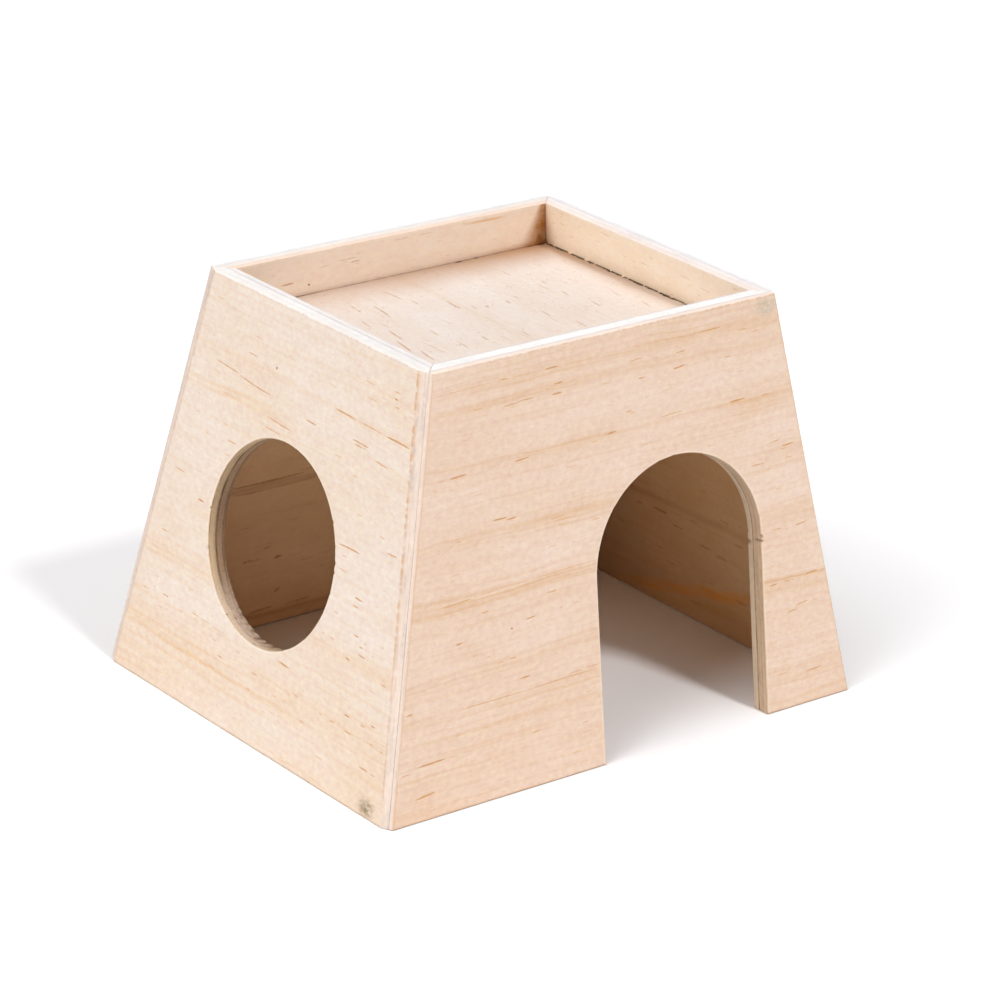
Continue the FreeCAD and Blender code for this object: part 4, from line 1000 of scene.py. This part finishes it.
DOOR_BANDS = [(0.0, 0.65), (0.018, 0.4), (0.07, 0.4), (0.085, 0.6), (0.105, 0.3), (0.19, 0.22), (0.225, 0.4), (0.25, 0.15), (0.28, 0.6), (0.30, 0.7),
              (0.325, 0.15), (0.39, 0.05), (0.44, 0.3), (0.465, 0.95), (0.48, 0.6), (0.50, 0.1), (0.55, 0.1), (0.60, 0.5), (0.63, 0.3), (0.655, 0.1),
              (0.70, 0.2), (0.735, 0.6), (0.755, 0.95), (0.775, 0.5), (0.80, 0.05), (0.85, 0.05), (0.885, 0.5), (0.90, 0.1), (0.92, 0.75), (0.935, 0.5), (0.955, 0.15), (0.98, 0.3)]
HOLE_BANDS = [(0.0, 0.6), (0.04, 0.55), (0.09, 0.7), (0.115, 0.85), (0.15, 0.65), (0.19, 0.45), (0.22, 0.25), (0.29, 0.15), (0.315, 0.6), (0.33, 0.4), (0.36, 0.05),
              (0.46, 0.05), (0.50, 0.0), (0.53, 0.1), (0.60, 0.1), (0.70, 0.15), (0.725, 0.6), (0.74, 0.45), (0.76, 0.1), (0.81, 0.25), (0.86, 0.05), (0.95, 0.1), (0.985, 0.45)]


# ------------------------------------------------------------------ stains, painted shade and painted light of single boards
def slanted(t, P, u, v, slope, at, half, wave=1.2, seed=0.0):
    """0 to 1 near a line that climbs by slope along U."""
    w = t.noise(t.scaled(P, (0.09, 0.16, 0.0), (seed, seed * 0.7, 0)), detail=3.0)
    x = t.math("MULTIPLY_ADD", u, slope, v)
    x = t.math("ADD", x, t.math("MULTIPLY_ADD", w, 2 * wave, -wave))
    return t.spread(t.math("ABSOLUTE", t.math("SUBTRACT", x, at)), 0.15 * half, half, 1.0, 0.0, True)


def paint_plain_inner(t, P, u, v, col):
    """A saturated resin band low on the board, painted shade that darkens the board towards the deep corner, a painted
    dark line of shade in the gap just above the tray, and painted shade in the corner above the tray.
    """
    along = t.math("MULTIPLY", t.spread(u, -34.0, -20.0, 0.45, 1.0), t.spread(u, 8.0, 24.0, 1.0, 0.35))
    grain = t.spread(t.noise(t.scaled(P, (0.05, 0.9, 0.0), (3, 9, 0)), detail=3.0), 0.35, 0.62, 0.35, 1.0)
    low = t.spread(v, 60.0, 62.0, 1.0, 0.0)
    col = t.mix(t.math("MULTIPLY", t.math("MULTIPLY", slanted(t, P, u, v, 0.25, 7.9, 2.7, 1.3, 7.0), grain), t.math("MULTIPLY", along, 0.9)), col, rgb(240, 162, 66))
    col = t.mix(t.math("MULTIPLY", slanted(t, P, u, v, 0.25, 4.0, 3.0, 0.9, 17.0), t.math("MULTIPLY", grain, 0.45)), col, rgb(224, 170, 92))
    col = t.mix(t.math("MULTIPLY", slanted(t, P, u, v, 0.02, 31.0, 1.6, 0.8, 27.0), t.math("MULTIPLY", grain, t.math("MULTIPLY", low, 0.30))), col, rgb(160, 106, 58))
    # painted shade: the low part of the board grows darker towards the deep corner inside the box
    deep = t.math("MAXIMUM", t.spread(u, -4.0, 36.0, 1.0, 0.66, True), t.spread(v, 80.0, 82.0))
    col = t.times(col, deep)
    # painted shade: a dark line in the gap just above the tray
    gap = t.math("MULTIPLY", t.spread(v, 88.60, 88.86, 1.0, 0.0), t.spread(v, 84.0, 86.0))
    col = t.mix(t.math("MULTIPLY", gap, 0.9), col, rgb(84, 58, 36))
    # painted shade in the corner above the tray, strongest low down
    corner = t.math("MULTIPLY", t.spread(u, 33.5, 38.5, 0.0, 1.0, True), t.spread(v, 84.0, 86.0))
    corner_shade_fade = t.spread(v, 88.0, 97.0, 1.0, 0.45)
    return t.mix(t.math("MULTIPLY", t.math("MULTIPLY", corner, corner_shade_fade), 0.5), col, rgb(206, 146, 86))


def paint_back_inner(t, P, u, v, col):
    """A wedge of painted shadow, with some stain, beside the corner above the tray, as cast by the rim of the wall at
    +X; a painted dark line of shade in the gap just above the tray and painted shade along the foot of the board above
    the tray; an orange line under the rim, and two bands low on the board.
    """
    # painted shadow with some stain: a wedge beside the corner above the tray, widening downwards
    width = t.spread(v, 88.0, 98.0, 7.0, 1.8)
    far = t.math("DIVIDE", t.math("ADD", u, 43.6), width)
    blot = t.spread(t.noise(t.scaled(P, (0.35, 0.35, 0.0), (5, 2, 0)), detail=3.0, rough=0.65), 0.3, 0.7, 0.75, 1.1)
    shadow_and_stain_wedge = t.math("MULTIPLY", t.spread(far, 0.05, 1.0, 1.0, 0.0, True), t.math("MULTIPLY", t.spread(v, 84.0, 86.0), blot))
    col = t.mix(t.math("MULTIPLY", shadow_and_stain_wedge, 0.95, clamp=True), col, rgb(168, 110, 44))
    # painted shade: a dark line in the gap just above the tray
    gap = t.math("MULTIPLY", t.spread(v, 87.80, 88.02, 1.0, 0.0), t.spread(v, 84.0, 86.0))
    col = t.mix(t.math("MULTIPLY", gap, 0.9), col, rgb(84, 58, 36))
    # painted shade along the foot of the board just above the tray, stronger towards the right corner
    foot = t.math("MULTIPLY", t.spread(v, 87.9, 89.6, 1.0, 0.0, True), t.spread(v, 84.0, 86.0))
    foot = t.math("MULTIPLY", foot, t.spread(u, -20.0, -40.0, 0.25, 1.0, True))
    col = t.mix(t.math("MULTIPLY", foot, 0.5), col, rgb(196, 128, 72))
    line = t.math("MULTIPLY", slanted(t, P, u, v, 0.0, 97.3, 0.45, 0.25, 3.0), t.math("MULTIPLY", t.spread(u, -33.0, -29.0), t.spread(u, -24.0, -19.0, 1.0, 0.0)))
    col = t.mix(t.math("MULTIPLY", line, 0.7), col, rgb(236, 184, 118))
    grain = t.spread(t.noise(t.scaled(P, (0.05, 0.9, 0.0), (13, 9, 0)), detail=3.0), 0.35, 0.62, 0.3, 1.0)
    col = t.mix(t.math("MULTIPLY", slanted(t, P, u, v, 0.0, 3.6, 1.5, 0.6, 37.0), t.math("MULTIPLY", grain, 0.4)), col, rgb(190, 128, 62))
    return t.mix(t.math("MULTIPLY", slanted(t, P, u, v, -0.03, 38.4, 1.3, 0.4, 47.0), t.math("MULTIPLY", grain, 0.4)), col, rgb(176, 116, 60))


def paint_hole_cut(t, P, u, v, col):
    """The foot of the round cut is torn end grain with open pits; its paler, pinker colour is painted light, where
    light from above falls on the upward-facing foot.
    """
    low = t.spread(v, HOLE_V - 0.45 * HOLE_R, HOLE_V - 0.93 * HOLE_R, 0.0, 1.0, True)
    near = t.spread(u, HOLE_U + 5.0, HOLE_U - 2.0, 0.55, 1.0)
    torn = t.noise(t.scaled(P, (1.3, 1.3, 1.1), (4, 8, 2)), detail=4.0, rough=0.65)
    # painted light: the upward-facing foot is made paler and pinker, as lit from above
    lit_torn_foot = t.math("MULTIPLY", t.math("MULTIPLY", low, near), t.spread(torn, 0.36, 0.56, 0.45, 0.95))
    col = t.mix(t.math("MULTIPLY", lit_torn_foot, 0.8), col, rgb(224, 202, 184))
    pits = t.math("MULTIPLY", low, t.spread(t.noise(t.scaled(P, (1.1, 1.1, 1.6), (9, 3, 5)), detail=3.0, rough=0.6), 0.60, 0.68))
    return t.mix(t.math("MULTIPLY", pits, 0.75), col, rgb(112, 88, 64))


def paint_tray_top(t, P, u, v, col):
    """Painted shade darkening the tray towards the back wall and the far right corner, and a tan grain band along the
    right edge.
    """
    back = t.spread(u, 22.0, 39.0, 0.0, 1.0, True)
    right = t.spread(v, -38.0, -46.0, 0.0, 1.0, True)
    # painted shade towards the back and the far corner, together with the grain band on the right
    edge = t.math("MAXIMUM", t.math("MULTIPLY", back, t.spread(v, 20.0, -38.0, 0.48, 1.0)), t.math("MULTIPLY", right, t.spread(u, -10.0, 32.0, 0.40, 1.0)))
    return t.mix(t.math("MULTIPLY", edge, 0.95), col, rgb(166, 126, 90))


# painted shade and painted light on the inner faces: the first pair of tones, darker and browner, is for the shaded
# inside of the box below the tray; the second, paler pair is for the part lit above it
SHADED_LOW = ((218, 172, 120), (196, 140, 86))
LIT_UP = ((228, 206, 186), (220, 190, 162))
# the rims get a paler, nearly white copy of the sawn-edge material: painted light on the upward-facing rim, while the
# jambs and feet keep the darker sawn copies
rim_door = cut_edge("rim_cut_door_wall", 1, (236, 218, 204), (238, 235, 232), (236, 233, 231), glue1=0.75, glue2=0.8, line=(206, 197, 198), speck=0.12, pores=(190, 180, 174),
                    at=(0.30, 0.95), soft=(0.03, 0.10))
rim_back = cut_edge("rim_cut_back_wall", 4, (232, 230, 230), (234, 225, 216), (236, 212, 194), glue1=0.6, glue2=0.25, line=(210, 204, 208), speck=0.10, pores=(194, 182, 172),
                    at=(0.28, 0.66), soft=(0.03, 0.10))
rim_hole = cut_edge("rim_cut_round_hole_wall", 5, (234, 228, 223), (233, 229, 226), (231, 226, 223), glue1=0.15, glue2=0.8, line=(208, 198, 197), speck=0.12, pores=(190, 180, 174),
                    at=(0.30, 0.67), soft=(0.03, 0.10))
rim_plain = cut_edge("rim_cut_plain_side_wall", 6, (231, 228, 227), (234, 226, 222), (236, 221, 211), glue1=0.75, glue2=0.25, line=(210, 203, 206), speck=0.12, pores=(192, 182, 174),
                     at=(0.30, 0.64), soft=(0.03, 0.10))
# the last, dark colours of the door and round-hole cuts are painted shade in their deeper nicks
door_cut = cut_edge("sawn_cut_door", 2, (210, 181, 152), (205, 177, 148), (216, 192, 165), glue1=0.25, glue2=0.9, line=(132, 102, 66), speck=0.50, pores=(132, 104, 74),
                    at=(0.30, 0.61), soft=(0.014, 0.055), arris_shade=(0.07, 0.55, 0.05, (178, 132, 98)), streak=0.3, stain_and_shade=(124, 90, 58))
sawn_cut = cut_edge("sawn_cut", 7, (216, 190, 160), (202, 174, 144), (220, 196, 168), glue1=0.6, glue2=0.6, line=(120, 94, 64), speck=0.45)
hole_cut = cut_edge("sawn_cut_round_hole", 8, (216, 188, 152), (188, 155, 126), (180, 146, 114), glue1=0.9, glue2=0.6, line=(112, 86, 56), speck=0.75, pores=(112, 86, 62),
                    at=HOLE_GLUE, soft=(0.02, 0.10), arris_shade=(0.050, 0.62, 0.05, (112, 88, 60)), streak=0.45, paint=paint_hole_cut, stain_and_shade=(118, 88, 58))
sanded_cut = cut_edge("sanded_corner", 3, (225, 206, 191), (221, 203, 189), (225, 206, 191), glue1=0.2, glue2=0.25, line=(184, 172, 168), speck=0.10, pores=(190, 166, 144), streak=0.7,
                      stain_and_shade=(206, 156, 110))

door_face = veneer("door_face", 1, (232, 208, 191), (219, 180, 143), DOOR_BANDS, band_gain=0.85, patch=(45.0, 95.3, (4.5, 3.0), 0.55, (168, 168, 152)))
hole_face = veneer("round_hole_face", 2, (231, 216, 204), (225, 191, 154), HOLE_BANDS, band_gain=0.8, patch=(46.5, 2.2, (4.0, 3.0), 0.85, (128, 114, 78)))
back_face = veneer("back_face", 3, (223, 201, 183), (211, 179, 151))
plain_face = veneer("plain_side_face", 4, (226, 205, 188), (216, 186, 159))
# inner faces: the tones below the tray level are painted shade, those above it painted light
door_in = veneer("door_inner_face", 5, *SHADED_LOW, lit_upper=(86.0, *LIT_UP))
hole_in = veneer("round_hole_inner_face", 6, *SHADED_LOW, lit_upper=(86.5, *LIT_UP))
back_in = veneer("back_inner_face", 7, (252, 212, 166), (240, 192, 138), lit_upper=(86.0, (255, 237, 220), (254, 230, 211)), paint=paint_back_inner, blotch=0.3, rings=0.15, band_gain=0.4,
                 dash=(206, 154, 102), mark=(166, 112, 62), mottle=0.05)
plain_in = veneer("plain_side_inner_face", 8, (228, 188, 143), (210, 158, 106), lit_upper=(86.5, (255, 240, 222), (255, 235, 210)), paint=paint_plain_inner, blotch=0.4, rings=0.2, band_gain=0.5,
                  dash=(190, 132, 78), mark=(154, 98, 52), mottle=0.05)

door_obj = door_wall.build([door_face, door_in, door_cut, rim_door, sanded_cut, door_cut], "wall_plywood", "front_panel")
back_obj = back_wall.build([back_face, back_in, sawn_cut, rim_back, sanded_cut, sawn_cut], "wall_plywood", "back_panel")
hole_obj = hole_wall.build([hole_face, hole_in, sawn_cut, rim_hole, sanded_cut, hole_cut], "wall_plywood", "left_panel")
plain_obj = plain_wall.build([plain_face, plain_in, sawn_cut, rim_plain, sanded_cut, sawn_cut], "wall_plywood", "right_panel")


# ------------------------------------------------------------------ the tray board, let in 10.5 mm below the rim
def tray_place(loop, depth):
    z = TRAY_Z - depth
    hx = (FOOT_X - (FOOT_X - RIM_X) * z / HEIGHT) / 2 - THICK_X
    hy = (FOOT_Y - (FOOT_Y - RIM_Y) * z / HEIGHT) / 2 - THICK_Y
    t, side, s = loop.t, loop.side, loop.s
    along = -hy + t * 2 * hy        # Y on the right edge
    right = 0.52 + 0.34 * rough1(s / 2.6, 301) + 0.20 * wave1(s / 0.8, 303) + 0.12 * np.clip(along / 35, -1, 1)
    x_back = hx - t * 2 * hx        # X on the back edge
    back = 0.07 + 0.10 * rough1(s / 4.5, 305) + 0.05 * wave1(s / 0.8, 307)
    back = back + 0.40 * np.clip((x_back - (hx - 7.5)) / 5, 0, 1) + 0.30 * np.clip((-18 - x_back) / 12, 0, 1) * (0.7 + 0.3 * wave1(s / 3.0, 309))
    right, back = np.clip(right, 0.04, 1.1), np.clip(back, 0.02, 1)
    at_right, at_back = side == "to_right", side == "to_back"
    xf, xb, xl = hx - right[at_right][0], hx - right[at_right][-1], hx - 0.03      # where the edges meet at the corners
    yr, yl, yf = hy - back[at_back][0], hy - back[at_back][-1], hy - 0.03
    u, v = np.zeros(len(t)), np.zeros(len(t))
    on = side == "to_right"
    u[on], v[on] = (-yf + t * (yf + yr))[on], (-hx + right)[on]
    on = side == "to_back"
    u[on], v[on] = (hy - back)[on], (-xb + t * (xb + xl))[on]
    on = side == "to_left"
    u[on], v[on] = (yl - t * (yf + yl))[on], xl[on]
    on = side == "to_front"
    u[on], v[on] = -yf[on], (xl - t * (xf + xl))[on]
    return np.stack([u, v], 1), np.full(len(t), HEIGHT / 2)


ring = Loop()
ring.add("to_right", 76.5, 0.4)
ring.add("to_back", 92.0, 0.45)
ring.add("to_left", 76.5, 0.9)
ring.add("to_front", 92.0, 0.9)
edge = dict(outer=0.18, inner=0.15, saw=0.05, groove=0.05, group=2)
tray = Board("tray_board", (0, 0, TRAY_Z), (0, 1, 0), (-1, 0, 0), (0, 0, 1), [ring.close()], tray_place, 53,
             {"to_right": dict(edge, outer=0.26), "to_back": dict(edge), "to_left": dict(edge), "to_front": dict(edge)})
rows, dots = streaks(101, -36, 34, -44, 44, per_area=1 / 130.0, weak=0.5, long=0.8)
tray.marks["outer"] = [(a, b, c, d, w * 1.3, k * 1.25) for a, b, c, d, w, k in TRAY_MARKS] + [(r[0], r[1], r[2], r[3], r[4] * 0.7, r[5] * 1.2) for r in rows]
tray.pits["outer"] = dots
tray.marks["inner"], tray.pits["inner"] = streaks(103, -36, 34, -44, 44)
# painted shade: a dark, broken line along the tray's right and back edges for the shadow in the gap to the walls; the
# small inset is a torn edge
tray.torn[(0, "to_right")] = (0.05, 0.9, 4.0, True)
tray.torn[(0, "to_back")] = (0.03, 0.75, 5.0, False)
for y, half, size, deep in ((37.6, 0.6, 0.45, 2.0), (36.2, 0.5, 0.45, 2.0), (33.4, 0.6, 0.5, 2.0), (24.2, 0.7, 0.3, 1.2), (10.9, 0.6, 0.3, 1.2), (3.4, 0.7, 0.3, 1.2), (-15.2, 0.5, 0.3, 1.0), (30.2, 0.8, 0.2, 1.0)):
    tray.chips.append((0, loop_s(tray, 0, "to_right", (y + 38.5) / 77.0), half, size, deep, "outer"))
for x, half, size in ((19.7, 1.2, 0.8), (24.9, 0.7, 0.7), (22.0, 0.5, 0.15), (41.0, 2.2, 0.4), (44.0, 1.4, 0.5), (31.0, 0.5, 0.2), (36.0, 0.7, 0.25), (6.0, 0.5, 0.12), (-7.0, 0.5, 0.15)):
    tray.chips.append((0, loop_s(tray, 0, "to_back", (46.0 - x) / 92.0), half, size, 2.2, "outer"))
for _ in range(22):
    tray.chips.append((0, chip_rng.rand() * 76.5, 0.3 + 0.5 * chip_rng.rand(), 0.10 + 0.22 * chip_rng.rand(), 0.4 + 0.8 * chip_rng.rand(), "outer"))


def crumb(u, v, z_up, size, seed):
    """A torn fibre or crumb of glue that bridges the gap at the tray's edge."""
    bm = bmesh.new()
    bmesh.ops.create_icosphere(bm, subdivisions=2, radius=1.0)
    bm.verts.ensure_lookup_table()
    p = np.array([x.co[:] for x in bm.verts])
    f = [[x.index for x in fc.verts] for fc in bm.faces]
    bm.free()
    r = 1 + 0.35 * wave2(p[:, 0] * 2 + p[:, 2], p[:, 1] * 2 - p[:, 2], seed)
    p = p * r[:, None] * np.array(size)
    uvd = np.column_stack([u + p[:, 0], v + p[:, 1], p[:, 2]])
    world = np.column_stack([-uvd[:, 1], uvd[:, 0], TRAY_Z + z_up + uvd[:, 2]]) * 0.001
    return world, np.column_stack([uvd[:, 0], uvd[:, 1], np.full(len(p), 0.6)]), np.zeros((len(p), 3)), f, 2


for y, size in ((36.9, (0.3, 0.22, 0.12)), (34.9, (0.35, 0.2, 0.12)), (22.7, (0.8, 0.30, 0.14)), (8.9, (0.65, 0.30, 0.14)), (7.2, (0.25, 0.2, 0.10)), (1.4, (0.35, 0.2, 0.10)),
                (-4.0, (0.5, 0.18, 0.10)), (-13.5, (0.3, 0.18, 0.12)), (-22.0, (0.4, 0.18, 0.10)), (29.0, (0.7, 0.3, 0.12)), (19.4, (0.4, 0.25, 0.12)),
                (13.6, (0.3, 0.25, 0.12)), (-8.6, (0.6, 0.25, 0.12)), (-17.8, (0.5, 0.25, 0.12)), (-26.4, (0.8, 0.25, 0.12)), (-31.0, (0.4, 0.25, 0.12))):
    tray.extra.append(crumb(y, -45.95, -0.08, size, int(400 + y * 3)))
# the tray's dark last colour is painted shadow in the gaps and painted shade in the deeper nicks
tray_top = veneer("tray_upper_face", 9, (223, 211, 204), (212, 188, 166), rings=0.16, dashes=0.35, dash=(196, 154, 116), mark=(150, 110, 76), stain_and_shade=(96, 68, 42), band_gain=0.2,
                  blotch=0.3, specks=0.6, paint=paint_tray_top, mottle=0.06)
# the tray's under face takes the darker inside tones: painted shade
tray_low = veneer("tray_lower_face", 10, *SHADED_LOW)
tray_obj = tray.build([tray_top, tray_low, sawn_cut, rim_plain, sanded_cut, sawn_cut], "tray_plywood", "tray_panel")

# ------------------------------------------------------------------ floor, light, camera
bm = bmesh.new()
bmesh.ops.create_grid(bm, x_segments=2, y_segments=2, size=4.0)
mesh = bpy.data.meshes.new("floor")
bm.to_mesh(mesh)
bm.free()
floor = bpy.data.objects.new("floor", mesh)
bpy.context.scene.collection.objects.link(floor)
floor_mat = bpy.data.materials.new("floor_white")
floor_mat.use_nodes = True
shader = floor_mat.node_tree.nodes["Principled BSDF"]
shader.inputs["Base Color"].default_value = (0.95, 0.945, 0.955, 1)
shader.inputs["Roughness"].default_value = 0.75
shader.inputs["Specular IOR Level"].default_value = 0.15
mesh.materials.append(floor_mat)
floor.location.z = -0.0001

world = bpy.data.worlds.new("studio")
world.use_nodes = True
sky = world.node_tree.nodes["Background"]
sky.inputs["Color"].default_value = (0.985, 0.985, 1.0, 1)
nodes, links = world.node_tree.nodes, world.node_tree.links
where, split, grade = nodes.new("ShaderNodeTexCoord"), nodes.new("ShaderNodeSeparateXYZ"), nodes.new("ShaderNodeMapRange")
for socket, value in zip(list(grade.inputs)[1:5], (0.35, 0.80, 0.12, 0.62)):     # a soft ceiling above darker surroundings
    socket.default_value = value
links.new(where.outputs["Generated"], split.inputs[0])
links.new(split.outputs[2], grade.inputs[0])
links.new(grade.outputs[0], sky.inputs["Strength"])
bpy.context.scene.world = world


def lamp(name, toward, strength, spread):
    """A broad soft light from a direction, as from a large diffuser: spread is its angular size in degrees."""
    data = bpy.data.lights.new(name, "SUN")
    data.energy = strength * math.pi
    data.angle = math.radians(spread)
    o = bpy.data.objects.new(name, data)
    bpy.context.scene.collection.objects.link(o)
    d = Vector(toward).normalized()
    o.location = d * 1.5
    o.rotation_mode = "QUATERNION"
    o.rotation_quaternion = d.to_track_quat("Z", "Y")
    return o


lamp("front_light", (0.155, -1.0, 1.25), 0.45, 9)
lamp("left_light", (-0.62, -0.03, 0.90), 0.335, 32)
lamp("low_left_light", (-0.88, -0.04, 0.72), 0.26, 30)
lamp("top_light", (0.30, -0.10, 1.0), 0.02, 34)

data = bpy.data.cameras.new("camera")
data.sensor_width = 36.0
data.lens = 155.56
data.clip_start, data.clip_end = 0.02, 20.0
camera = bpy.data.objects.new("camera", data)
bpy.context.scene.collection.objects.link(camera)
right, up, back = Vector((0.790590, -0.611488, 0.032408)), Vector((0.205831, 0.315217, 0.926430)), Vector((-0.576716, -0.725755, 0.375071))
camera.matrix_world = Matrix((
    (right.x, up.x, back.x, -0.568653),
    (right.y, up.y, back.y, -0.721392),
    (right.z, up.z, back.z, 0.415110),
    (0, 0, 0, 1)))
bpy.context.scene.camera = camera
bpy.context.scene.view_settings.view_transform = "Standard"
bpy.context.scene.view_settings.look = "None"
bpy.context.scene.view_settings.exposure = 0.0
bpy.context.scene.view_settings.gamma = 1.0
